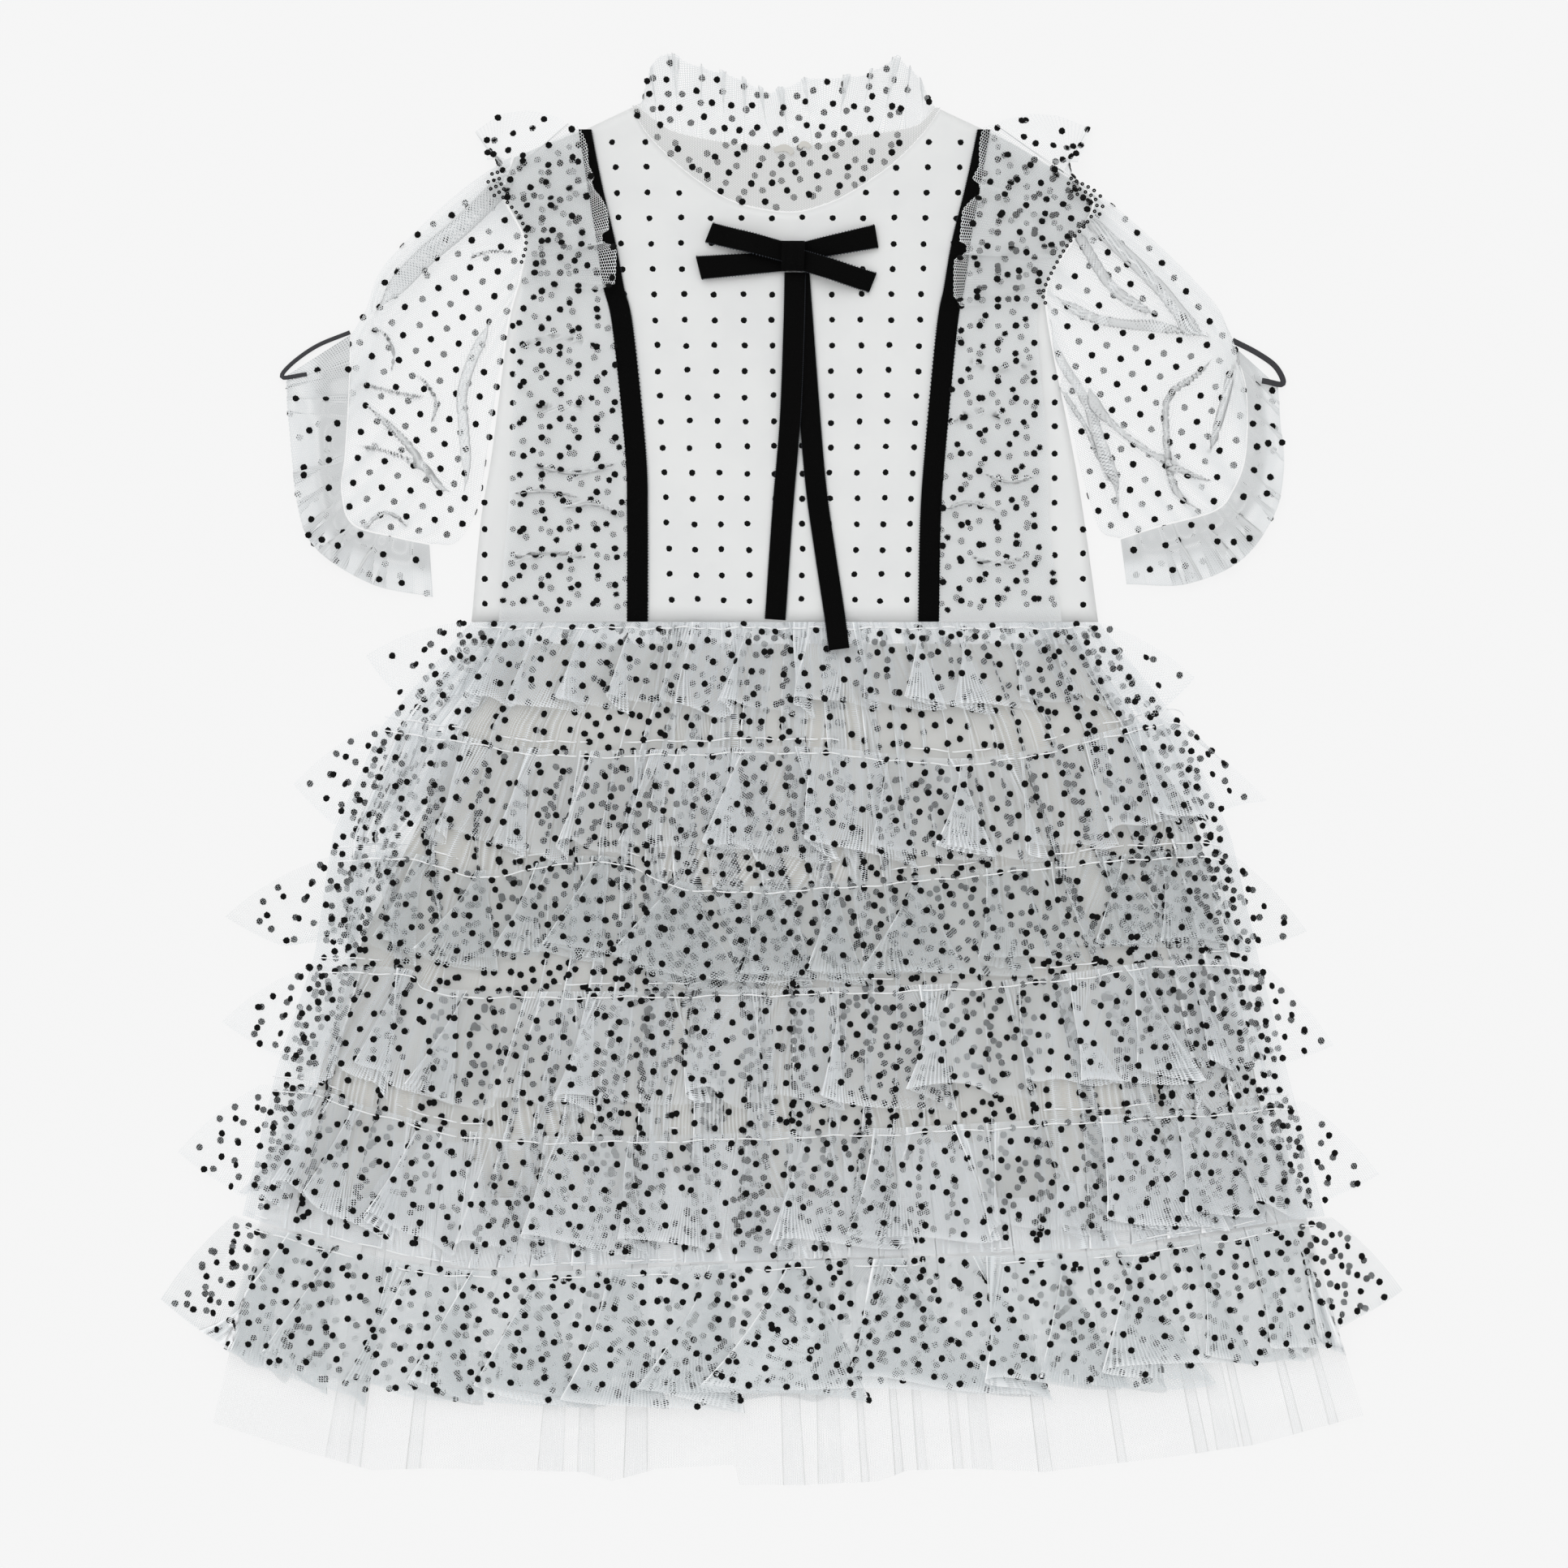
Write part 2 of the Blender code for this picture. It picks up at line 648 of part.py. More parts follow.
def bow_tail(name, route, level):
    def height(x, y):
        over_tail = level * STEP * lookup(-y, TAIL_STACK)
        over_waist = (1 - level) * lookup(-y, TAIL_OVER_WAIST)
        return panel_height(x, max(y, WAIST_Y)) + STEP + over_tail + over_waist

    strip("bow_tail_" + name, route, RIBBON_WIDTH, TAIL_ROWS, height, "velvet", CLOTH)


# The skirt

def skirt_layer(name, sides, columns, depths, hem, height, cloth):
    """A layer of the skirt between its side edges, at depths below the waist down to its hem.

    columns are shares of its width, hem(x) is the y of its lower edge.
    """

    def place(column, row):
        across = columns[column]
        y = WAIST_Y - depths[min(row, len(depths) - 1)]
        left, right = side_edges(sides, y if row < len(depths) else hem(0))
        x = between(left, right, across)
        if row == len(depths):
            y = hem(x)
        return x, y, height(y, across)

    sheet(name, len(columns) - 1, len(depths), place, cloth)


def even(first, last, count):
    return [between(first, last, step / (count - 1)) for step in range(count)]


def base_skirt():
    """The skirt that carries the tiers, as a back and a front, down to the last seam."""
    seam = TIERS[-1][1]
    columns = [0] + even(SIDE_FALL, 1 - SIDE_FALL, 11) + [1]
    depths = (SEAM / 2, WAIST_LIFT, WAIST_RISE, 55.5, 114.5, 181.5, 240.5, 290, 315)

    def hem(x):
        return lookup(x, seam) + 3 * SEAM

    def back(y, across):
        return base_back_height(y)

    skirt_layer("skirt_base_back", BASE_SIDES, columns, depths, hem, back, "tulle")
    skirt_layer("skirt_base_front", BASE_SIDES, columns, depths, hem, base_front_height, "tulle")


def lining():
    """The opaque lining, as a back and a front, which shows through the tulle."""
    depths = (LINING_DROP, WAIST_RISE, 60, 102, 145, 190, 234, 275)

    def hem(x):
        return PETTICOAT_SEAM_Y + SEAM

    for name, level in (("skirt_lining_back", 1), ("skirt_lining_front", 2)):

        def height(y, across, level=level):
            return base_back_height(y) + level * STEP

        skirt_layer(name, LINING_SIDES, even(0, 1, 9), depths, hem, height, "lining")


def petticoat():
    """Plain net from the lining's hem to below the last tier, in soft pressed folds."""
    marks = {0.0, 1.0, *PETTICOAT_HEM_STEP}
    for place_across, half_width, _ in PETTICOAT_FOLDS:
        marks |= {place_across - half_width, place_across, place_across + half_width}

    def fold_height(across):
        for centre, half_width, height in PETTICOAT_FOLDS:
            if abs(across - centre) < half_width:
                return height * (1 - abs(across - centre) / half_width)
        return 0.0

    for name, level, columns in (
        ("petticoat_back", 0, even(0, 1, 15)),
        ("petticoat_front", 1, sorted(marks)),
    ):

        def place(column, row, level=level, columns=columns):
            across, down = columns[column], PETTICOAT_DEPTHS[row][0]
            hem_x = between(PETTICOAT_HEM[0][0], PETTICOAT_HEM[-1][0], across)
            x = between(between(-PETTICOAT_SIDE, PETTICOAT_SIDE, across), hem_x, down)
            y = between(PETTICOAT_SEAM_Y, lookup(hem_x, PETTICOAT_HEM), down)
            low = PETTICOAT_DEPTHS[row][1]
            if level:
                low += STEP + fold_height(across) * smooth(3 * down - 0.8)
            return x, y, low

        sheet(name, len(columns) - 1, len(PETTICOAT_DEPTHS) - 1, place, "net")


def ruffle(name, seam, drop, tip_drop, tip_angle, waves, is_front):
    """One layer of a tier's ruffle: it fans out to the sides and waves more to its hem."""
    columns = (4 if is_front else 3) * waves
    downs = FIRST_RUFFLE_ROWS if seam[0][1] > 0 and is_front else RUFFLE_ROWS
    long_run, short_run, wave_run = UNEVEN_RUNS

    def place(column, row):
        share = column / columns
        across = share - SIDE_CROWDING * sin(2 * pi * share) + WAVE_SPREAD * sin(10 * pi * share)
        down = downs[row]
        (seam_x, seam_y), _ = along(seam, across)
        side = 2 * across - 1
        tip = abs(side) ** TIP_SHARPNESS
        angle = radians(between(FAN_ANGLE * abs(side), tip_angle, tip)) * (1 if side > 0 else -1)
        length = between(drop, tip_drop, tip) * down
        length *= 1 + HEM_UNEVEN * sin(long_run * share + seam_y) * sin(short_run * share)
        x, y = seam_x + length * sin(angle), seam_y - length * cos(angle)
        wave = down ** 0.8 * fold(waves, share)
        if not is_front:
            high = BACK_WAVE * wave
            return x, y, max(0.0, high - REST_DEPTH), high + CLOTH
        uneven = 1 - WAVE_UNEVEN * (1 - sin(wave_run * share + seam_y))
        wave *= between(FRONT_WAVE * uneven, TIP_WAVE, min(1, tip * 3))
        return x, y, ruffle_ground(x, y) + wave

    sheet(name, columns, len(downs) - 1, place, "tulle")


def build():
    clear_scene()
    bodice()
    yoke("back_yoke", ground)
    yoke("front_yoke", panel_height)
    collar_ruffle("collar_ruffle_back", 0, BACK_WAVE)
    collar_ruffle("collar_ruffle_front", 1, COLLAR_WAVE)
    velvet_ribbon("velvet_ribbon_left", LEFT_RIBBON, 1)
    velvet_ribbon("velvet_ribbon_right", RIGHT_RIBBON, -1)
    side_overlay("side_overlay_left", LEFT_RIBBON, 0, -1, 15)
    side_overlay("side_overlay_right", RIGHT_RIBBON, LAST_COLUMN, 1, 26)
    for name, seam, edge in SHOULDER_RUFFLES:
        shoulder_ruffle("shoulder_ruffle_" + name, seam, edge)
    for row in SLEEVES:
        sleeve(*row)
    for name, route, width in ELASTICS:
        strip("elastic_" + name, route, width, 5, ground, "elastic", VELVET)
    for row in BOW_LOOPS:
        bow_loop(*row)
    bow_knot()
    for row in BOW_TAILS:
        bow_tail(*row)
    base_skirt()
    lining()
    petticoat()
    for name, seam, drop, tip_drop, tip_angle, front_waves, back_waves in TIERS:
        ruffle(name + "_back", seam, drop, tip_drop, tip_angle, back_waves, False)
        ruffle(name + "_front", seam, drop, tip_drop, tip_angle, front_waves, True)


build()
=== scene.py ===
from math import pi, radians

import bpy
import numpy as np
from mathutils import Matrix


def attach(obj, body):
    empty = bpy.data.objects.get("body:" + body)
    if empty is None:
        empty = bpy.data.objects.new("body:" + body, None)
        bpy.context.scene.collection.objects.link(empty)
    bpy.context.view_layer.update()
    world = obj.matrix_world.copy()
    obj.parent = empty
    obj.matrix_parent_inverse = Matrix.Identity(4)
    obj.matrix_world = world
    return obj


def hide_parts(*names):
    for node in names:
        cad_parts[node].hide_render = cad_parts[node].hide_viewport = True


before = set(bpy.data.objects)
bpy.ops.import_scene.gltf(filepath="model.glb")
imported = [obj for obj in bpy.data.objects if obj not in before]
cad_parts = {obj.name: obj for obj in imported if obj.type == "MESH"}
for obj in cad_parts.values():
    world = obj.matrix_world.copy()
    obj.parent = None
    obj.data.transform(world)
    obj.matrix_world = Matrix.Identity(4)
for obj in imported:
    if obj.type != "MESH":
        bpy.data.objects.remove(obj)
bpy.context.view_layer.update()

# Lengths are in millimetres until a mesh is made
MM = 0.001
CLOTH = 1.0
SEAM = 0.3
STEP = CLOTH + SEAM
WAIST_Y = 80.5
OPENING_X = 6.0
RIBBON_WIDTH = 11.0
# How far below the waist the skirt's front and back reach their full height
WAIST_LIFT, WAIST_RISE = 10.0, 25.0
# Over what share of its width the skirt's front falls to each side, and over how many
# millimetres past the sides a ruffle falls
SIDE_FALL, SIDE_REACH = 0.02, 14.0
# The height of folds in a front ruffle, in its flaps and in a back ruffle
FRONT_WAVE, TIP_WAVE, BACK_WAVE = 8.0, 2.5, 1.2
BODICE_LOFT, GATHER_DEPTH = 1.0, 1.2
# How far the sides of a ruffle fan out, in degrees
FAN_ANGLE = 24

# The flocked dots: a straight grid on the flat cloth, before it is cut and gathered
DOT_PITCH = (15.3, 13.8)
NET_DOT_PITCH = (13.4, 12.4)
OVERLAY_DOT_PITCH = (14.0, 14.0)
RUFFLE_DOT_PITCH = (11.8, 11.0)
SKIRT_DOT_PITCH = (10.6, 10.0)
# One dot: its radius, the heights of its foot, pile and crown, and its brim's share of the radius
DOT_RADIUS, DOT_FOOT, DOT_PILE, DOT_CROWN = 1.95, 0.05, 0.35, 0.1
DOT_SIDES, DOT_BRIM = 7, 0.86
# The shares of a cloth at its sides and over its hem that stay free of dots
DOT_MARGIN, DOT_HEM = 0.004, 0.015
# How finely the places of dots are searched, and how near the cloth a dot has to be
DOT_SEARCH, DOT_REACH = 240, 1.6

# The bodice in sections from shoulder to waist
BODICE_ROWS = (
    # left_side, left_ribbon, right_ribbon, right_side: (x, y) of each
    ((-145, 332), (-106.5, 347), (109.5, 347), (138, 332)),
    ((-150, 312), (-101, 316), (103.5, 316), (168, 310)),
    ((-139, 288), (-95, 286), (97.5, 288), (157, 287)),
    ((-141, 268), (-91, 262), (93.5, 262), (144, 264)),
    ((-148, 240), (-86, 240), (89.5, 240), (144.5, 240)),
    ((-157, 172), (-79, 172), (83, 172), (158, 172)),
    ((-163, 135), (-78, 135), (80.5, 135), (164.5, 132)),
    ((-168, WAIST_Y), (-78, WAIST_Y), (79.5, WAIST_Y), (171.5, WAIST_Y)),
)
SHOULDER_Y, WAIST_SIDE = BODICE_ROWS[0][0][1], BODICE_ROWS[-1][3][0]
NECKLINE = (
    # x, y
    (-81, 359), (-74, 346), (-62, 333), (-48, 321), (-31, 310), (-15, 304.5), (OPENING_X, 302),
    (23, 306), (38, 313), (60, 328), (77, 345), (86, 358),
)
COLLAR_SEAM = (
    # x, y
    (-78.5, 360.5), (-68, 352), (-59, 346.5), (-46, 343), (-31, 340.5), (-15, 339), (OPENING_X, 338),
    (23, 340), (38, 343.5), (60, 346.5), (74, 350), (83, 359),
)
COLLAR_EDGE = (
    # x, y
    (-75, 361), (-73, 374), (-65, 388), (-48, 383), (-39, 380), (-25, 376), (-18, 373), (-8, 368),
    (1, 370), (15, 375), (37, 376), (49, 379), (62, 386), (69, 381), (74, 376), (82, 361),
)
COLLAR_WAVES, COLLAR_WAVE = 14, 3.0

TIERS = (
    # name, drop, front waves, back waves, how far its front folds lean, layers of net, whether it
    # is densely gathered and takes the darker net that paints shade, seam (x, y)
    ("ruffle_1", 46, 14, 6, 2.6, 1.2, False,
     ((-170, WAIST_Y - SEAM / 2), (172, WAIST_Y - SEAM / 2))),
    ("ruffle_2", 55, 14, 6, 2.6, 1.2, False,
     ((-220, 25), (-180, 20), (-117, 11), (9, 13), (107, 7), (206, 28), (218, 19))),
    ("ruffle_3", 52, 15, 6, 4.4, 1.0, True,
     ((-246, -47), (-203, -44), (-163, -54), (-97, -46), (-41, -62), (57, -58), (201, -44),
      (245, -46))),
    ("ruffle_4", 61, 15, 6, 2.6, 1.2, False,
     ((-257, -106), (-203, -107), (-163, -119), (92, -115), (213, -102), (261, -105))),
    ("ruffle_5", 61, 16, 6, 2.6, 1.2, False,
     ((-282, -170), (-251, -172), (-218, -183), (-143, -197), (34, -194), (163, -187),
      (283, -179))),
    ("ruffle_6", 71, 16, 8, 5.0, 2.1, True,
     ((-297, -241), (-269, -249), (-168, -270), (9, -265), (176, -259), (276, -244),
      (298, -242))),
)
TIPS = (
    # angle in degrees and length of each flap, at its inner and its outer corner: left, right
    (((48, 63), (72, 58)), ((37, 65), (60, 60))),
    (((27, 65), (54, 55)), ((27, 57), (52, 57))),
    (((38, 64), (60, 64)), ((18, 57), (44, 57))),
    (((30, 58), (57, 55)), ((20, 61), (41, 58))),
    (((24, 66), (51, 58)), ((20, 59), (46, 57))),
    (((14, 69), (41, 60)), ((8, 63), (44, 55))),
)
TIP_START, TIP_BULGE = 0.93, 0.22
FLAP_SHARE = 0.25
BASE_SIDES = (
    # y, left, right
    (WAIST_Y, -168, 171.5), (25, -216, 216), (-34, -243, 243), (-101, -253, 258),
    (-160, -273, 273), (-241, -292, 294), (-272, -296, 299),
)
LINING_DROP = 12.0
LINING_SIDES = (
    # y, left, right
    (WAIST_Y - LINING_DROP, -154, 158), (-22, -193, 222), (-90, -226, 240), (-154, -248, 254),
    (-231, -262, 268),
)
PETTICOAT_SEAM_Y = -231 - SEAM
PETTICOAT_SIDE, PETTICOAT_GATHER = 272, 7
PETTICOAT_TUCK, PETTICOAT_LOW_Y = 30, -378
PETTICOAT_HEM = (
    # x, y
    (-308, -353), (-269, -366), (-222, -379), (-193, -378), (-150, -379), (-108, -380), (-92, -385),
    (-67, -378), (-25, -376), (-24, -387), (14, -387), (53, -385), (68, -379), (99, -378),
    (142, -380), (174, -376), (209, -372), (257, -365), (315, -349),
)
PETTICOAT_DEPTHS = (
    # share of its length, height of its back layer's underside
    (0, 2 * STEP + BACK_WAVE), (0.25, 2 * STEP + BACK_WAVE), (0.37, STEP + BACK_WAVE),
    (0.8, STEP + BACK_WAVE), (0.92, 0.4), (1, 0),
)
SLEEVES = (
    # name, side, top fold, cuff line, underarm fold, edge of the flounce: (x, y) of each
    (
        "left", -1,
        ((-146, 333), (-170, 317), (-195, 295), (-217, 271), (-225, 250), (-233, 236)),
        ((-233, 236), (-234, 205), (-236, 172), (-238, 152), (-232, 134), (-209, 127),
         (-190, 123)),
        ((-160, 170), (-165, 142), (-176, 124), (-190, 123)),
        ((-268, 214), (-268, 206), (-267, 190), (-262, 143), (-252, 120), (-222, 101), (-189, 94)),
    ),
    (
        "right", 1,
        ((139.5, 333), (176, 309), (205, 284), (226, 263), (238, 248), (243, 231)),
        ((243, 231), (251, 208), (251, 172), (244, 152), (234, 141), (205, 133), (183, 126)),
        ((160.5, 170), (166, 149), (173, 130), (183, 126)),
        ((269, 208), (270, 190), (272, 164), (267, 139), (249, 114), (219, 101), (187, 101)),
    ),
)
SLEEVE_LOFT, FLOUNCE_LOFT = 3.0, 2.0
ARMHOLE_GAP, CUFF_GAP = 1.0, 0.8
ELASTIC_HEIGHT, ELASTIC_CURL = 0.75, 3.2
ELASTICS = (
    # name, route (x, y), width
    ("left", ((-233.9, 237.5), (-252, 230), (-266, 220), (-270.5, 213), (-257, 214.5)), 2.2),
    ("right", ((244.3, 233.1), (258, 226), (268, 218.5), (271.5, 209.5), (260, 211)), 3.0),
)
SHOULDER_RUFFLES = (
    # name, seam (x, y), free edge (x, y)
    (
        "left",
        ((-144, 263), (-141, 275), (-139, 286), (-145, 303), (-153, 315), (-153, 324),
         (-146, 331)),
        ((-99, 260), (-90, 263), (-90, 283), (-96, 285), (-97, 290), (-94, 292), (-95, 303),
         (-100, 314), (-103, 318), (-102, 321), (-105, 337), (-110, 347), (-120, 353), (-137, 357),
         (-152, 355), (-166, 346), (-161, 337), (-159, 330)),
    ),
    (
        "right",
        ((143, 254), (149, 275), (158, 288), (166, 300), (164, 314), (156, 322), (146, 330)),
        ((97, 251), (93, 256), (94, 276), (99, 279), (100, 284), (97, 286), (99, 303), (106, 312),
         (107, 317), (104, 320), (107, 337), (110, 347), (120, 352), (136, 355), (150, 354),
         (166, 348), (164, 337), (160, 329)),
    ),
)
SHOULDER_WAVES, SHOULDER_WAVE = 6, 3.0
KNOT_LEFT, KNOT_RIGHT = 0.5, 12.0
KNOT_BOTTOM, KNOT_TOP = 270.3, 286.0
KNOT_HALF, KNOT_MIDDLE, KNOT_LOFT = 7.7, 3.6, 3.4
BOW_LOOPS = (
    # name, x at the knot, upper and lower y there, upper and lower corner of the tip, level
    ("upper_left", KNOT_LEFT - SEAM, 285.5, 275.0, (-37, 296), (-41, 286), 1),
    ("lower_left", KNOT_LEFT - SEAM, 280.5, 270.5, (-46, 278), (-43, 266), 0),
    ("upper_right", KNOT_RIGHT + SEAM, 285.5, 276.0, (50, 295), (52, 283), 0),
    ("lower_right", KNOT_RIGHT + SEAM, 281.5, 270.5, (51, 269), (47, 259), 1),
)
LOOP_TUCK, LOOP_STACK = 2, ((0, 2.9), (0.42, 4.1), (0.8, 0))
BOW_TAILS = (
    # name, route of its middle (x, y) down from the knot, level at the knot
    ("right", ((9.5, 269.4), (15.5, 189), (19, 150), (24, 115), (28.5, 85), (31, 65.5)), 0),
    ("left", ((7.2, 269.4), (6.5, 240), (4.5, 189), (0.5, 140), (-3.5, 81.6)), 1),
)
TAIL_STACK = ((-188, 1), (-165, 0))
TAIL_OVER_WAIST = ((-90, 0), (-80, 2.0), (-72, 5.6), (-64, 7.8))


# Lines and heights

def mix(start, end, share):
    return start + (end - start) * share


def smooth(share):
    share = np.clip(share, 0, 1)
    return share * share * (3 - 2 * share)


def lookup(x, pairs):
    """The value at x of a line through (x, value) pairs, level beyond both ends."""
    table = np.array(pairs, float)
    return np.interp(x, table[:, 0], table[:, 1])


def spline(points, place, is_round=True):
    """Points of a curve through points at places counted in points, along the first axis."""
    points = np.asarray(points, float)
    last = len(points) - 1
    place = np.clip(np.asarray(place, float), 0, last)
    index = np.minimum(place.astype(int), last - 1)
    part = (place - index)[..., None]
    p1, p2 = points[index], points[index + 1]
    if not is_round:
        return mix(p1, p2, part)
    p0 = np.where((index > 0)[..., None], points[np.maximum(index - 1, 0)], 2 * p1 - p2)
    p3 = np.where((index < last - 1)[..., None], points[np.minimum(index + 2, last)], 2 * p2 - p1)
    return 0.5 * (
        2 * p1
        + (p2 - p0) * part
        + (2 * p0 - 5 * p1 + 4 * p2 - p3) * part**2
        + (3 * p1 - p0 - 3 * p2 + p3) * part**3
    )


class Line:
    """A line through points, read by the share of its length or of its points."""

    def __init__(self, points, is_round=True):
        self.points, self.is_round = points, is_round
        self.path = spline(points, np.linspace(0, len(points) - 1, 40 * len(points)), is_round)
        steps = np.linalg.norm(np.diff(self.path, axis=0), axis=1)
        self.run = np.concatenate([[0], np.cumsum(steps)])
        self.length = self.run[-1]

    def at(self, share):
        share = np.asarray(share, float) * self.length
        return [np.interp(share, self.run, self.path[:, axis]) for axis in (0, 1)]

    def by_point(self, share):
        found = spline(self.points, np.asarray(share) * (len(self.points) - 1), self.is_round)
        return found[..., 0], found[..., 1]

    def across(self, share):
        """The unit vector square to the line, to its left."""
        ahead, behind = self.at(np.clip(share + 0.004, 0, 1)), self.at(np.clip(share - 0.004, 0, 1))
        run_x, run_y = ahead[0] - behind[0], ahead[1] - behind[1]
        length = np.hypot(run_x, run_y)
        return -run_y / length, run_x / length

    def beside(self, share, aside):
        """Places at a distance to the left of the line."""
        (x, y), (over_x, over_y) = self.at(share), self.across(share)
        return x + over_x * aside, y + over_y * aside


def wave(phase):
    return 0.5 - 0.5 * np.cos(2 * pi * phase)


def slide(phase, waves, lean):
    """How far a fold moves across. Folds lie over each other where lean is above 1."""
    return lean / (2 * pi * waves) * np.cos(2 * pi * phase)


def in_between(share, pace, late=0):
    """1 in the middle of a share that runs from 0 to 1, and 0 at both its ends."""
    return smooth(pace * share - late) * smooth(pace * (1 - share) - late)


def around(turn):
    """The place across a flat tube, and how far up or down it is, from -1 to 1."""
    return (1 - np.cos(2 * pi * turn)) / 2, -np.sin(2 * pi * turn)


def flattened(rise, power):
    """A height from -1 to 1 that keeps near its ends, as on a tube that lies flat."""
    return np.sign(rise) * abs(rise) ** power


def panel_height(x, y):
    """The middle of the bodice's front, which rises to the stack of the skirt's waist."""
    down = (SHOULDER_Y - y) / (SHOULDER_Y - WAIST_Y)
    across = np.minimum(1, abs(x) / WAIST_SIDE)
    return CLOTH / 2 + STEP + STEP * smooth(2 * down - 1) + BODICE_LOFT * (1 - across**2)


def base_back_height(y):
    return CLOTH / 2 + lookup(WAIST_Y - y, ((0, STEP), (WAIST_RISE, STEP + BACK_WAVE)))


def base_front_height(y, across):
    lift = lookup(WAIST_Y - y, ((0, STEP), (WAIST_LIFT, 3 * STEP)))
    side = np.minimum(across, 1 - across)
    return base_back_height(y) + mix(STEP, lift, np.clip(side / SIDE_FALL, 0, 1))


def side_edges(sides, y):
    left = lookup(-y, [(-row_y, start) for row_y, start, _ in sides])
    right = lookup(-y, [(-row_y, end) for row_y, _, end in sides])
    return left, right


def ruffle_ground(x, y):
    """The height on which a front ruffle lies, down to the back ruffle past the sides."""
    left, right = side_edges(BASE_SIDES, y)
    inside = np.minimum(x - left, right - x)
    low = CLOTH / 2 + STEP + BACK_WAVE + 0.1
    high = base_front_height(y, 0.5) + STEP + 0.5
    return mix(low, high, smooth(1 + inside / SIDE_REACH))


# Materials

class Socket:
    """A number that varies over a surface. Sums on it add their nodes."""

    def __init__(self, paint, socket):
        self.paint, self.socket = paint, socket

    def maths(self, operation, *others):
        return self.paint.node("Math", {"operation": operation}, *others)

    def __add__(self, other):
        return self.maths("ADD", self, other)

    def __sub__(self, other):
        return self.maths("SUBTRACT", self, other)

    def __rsub__(self, other):
        return self.maths("SUBTRACT", other, self)

    def __mul__(self, other):
        return self.maths("MULTIPLY", self, other)

    def __truediv__(self, other):
        return self.maths("DIVIDE", self, other)

    __radd__ = __add__
    __rmul__ = __mul__

    def cosine(self):
        return self.maths("COSINE", self)

    def between(self, low, high):
        """From 0 at low to 1 at high, level beyond."""
        return self.paint.node("MapRange", {"interpolation_type": "SMOOTHSTEP"}, self, low, high)


class Paint:
    """A material's nodes around its Principled shader."""

    def __init__(self, name, colour, roughness, **levels):
        self.material = bpy.data.materials.new(name)
        self.material.use_nodes = True
        self.tree = self.material.node_tree
        self.shader = self.tree.nodes["Principled BSDF"]
        self.set("Base Color", (*colour, 1))
        self.set("Roughness", roughness)
        for socket, level in levels.items():
            self.set(socket.replace("_", " "), level)

    def set(self, name, value):
        if isinstance(value, Socket):
            self.tree.links.new(value.socket, self.shader.inputs[name])
        else:
            self.shader.inputs[name].default_value = value

    def node(self, kind, settings, *values, output=0):
        made = self.tree.nodes.new("ShaderNode" + kind)
        for setting, value in settings.items():
            setattr(made, setting, value)
        for index, value in enumerate(values):
            if isinstance(value, Socket):
                self.tree.links.new(value.socket, made.inputs[index])
            elif value is not None:
                made.inputs[index].default_value = value
        return Socket(self, made.outputs[output])

    def flat_cloth(self):
        """The place on the flat cloth, in metres, across and along it."""
        place = self.node("TexCoord", {}, output=2)
        return [self.node("SeparateXYZ", {}, place, output=axis) for axis in (0, 1)]

    def noise(self, scale, detail=2.0):
        place = self.node("TexCoord", {}, output=3)
        return self.node("TexNoise", {}, place, None, scale, detail)

    def colour_mix(self, share, first, second):
        unused = [None] * 5
        colours = (*first, 1), (*second, 1)
        return self.node("Mix", {"data_type": "RGBA"}, share, *unused, *colours, output=2)

    def bump(self, height, strength, distance):
        self.set("Normal", self.node("Bump", {}, strength, distance, 0.1, height))


SIXTY_DEGREE_SINE = 0.866


def web_levels():
    """The level of the web below which each share of a net is thread."""
    first, second = 2 * pi * np.random.default_rng(3).random((2, 40000))
    return np.sort(np.cos(first) + np.cos(second) + np.cos(first + second))


def net_paint(name, colour, fold_light_and_shade_colour, cell):
    """Tulle: threads round six-sided holes, up to a level that each cloth holds."""
    paint = Paint(name, colour, 0.55, Specular_IOR_Level=0.25)
    across, along = paint.flat_cloth()
    turn = 2 * pi / (cell * SIXTY_DEGREE_SINE * MM)
    web = (across * turn).cosine()
    for slant in (SIXTY_DEGREE_SINE, -SIXTY_DEGREE_SINE):
        web = web + ((across * 0.5 + along * slant) * turn).cosine()
    edge = paint.node("Attribute", {"attribute_name": "thread_edge"}, output=2)
    paint.set("Alpha", (edge - web).between(-0.25, 0.25))
    # Painted light: where thread crowds, in gathers, at hems and on faces that stand on edge, the colour
    # turns to fold_light_and_shade_colour, which paints shade on the plain tulle and highlight along the
    # folds of the skirt's and the yoke's nets.
    paint.set("Base Color", paint.colour_mix(edge.between(*FOLD_LIGHT_AND_SHADE_WEB), colour, fold_light_and_shade_colour))
    return paint.material


def woven_paint(name, colour, shade, thread, depth, roughness):
    """A plain weave with soft unevenness."""
    paint = Paint(name, colour, roughness, Specular_IOR_Level=0.2)
    across, along = paint.flat_cloth()
    turn = 2 * pi / (thread * MM)
    weave = (across * turn).cosine() * (along * turn).cosine()
    cloudy = paint.noise(28.0, 3.0)
    paint.set("Base Color", paint.colour_mix(cloudy.between(0.35, 0.75), colour, shade))
    paint.bump(weave * depth + cloudy * 0.6, 0.5, 0.0006)
    return paint.material


def pile_paint(name, colour, tip_colour, grain, sheen):
    paint = Paint(name, colour, 0.95, Specular_IOR_Level=0.06, Sheen_Weight=sheen,
                  Sheen_Roughness=0.4)
    pile = paint.noise(grain, 2.0)
    paint.set("Base Color", paint.colour_mix(pile.between(0.55, 0.8), colour, tip_colour))
    paint.bump(pile, 0.6, 0.0004)
    return paint.material


def plain_paint(name, colour, roughness, grain=None):
    paint = Paint(name, colour, roughness)
    if grain:
        paint.bump(paint.noise(grain), 0.3, 0.0003)
    return paint.material


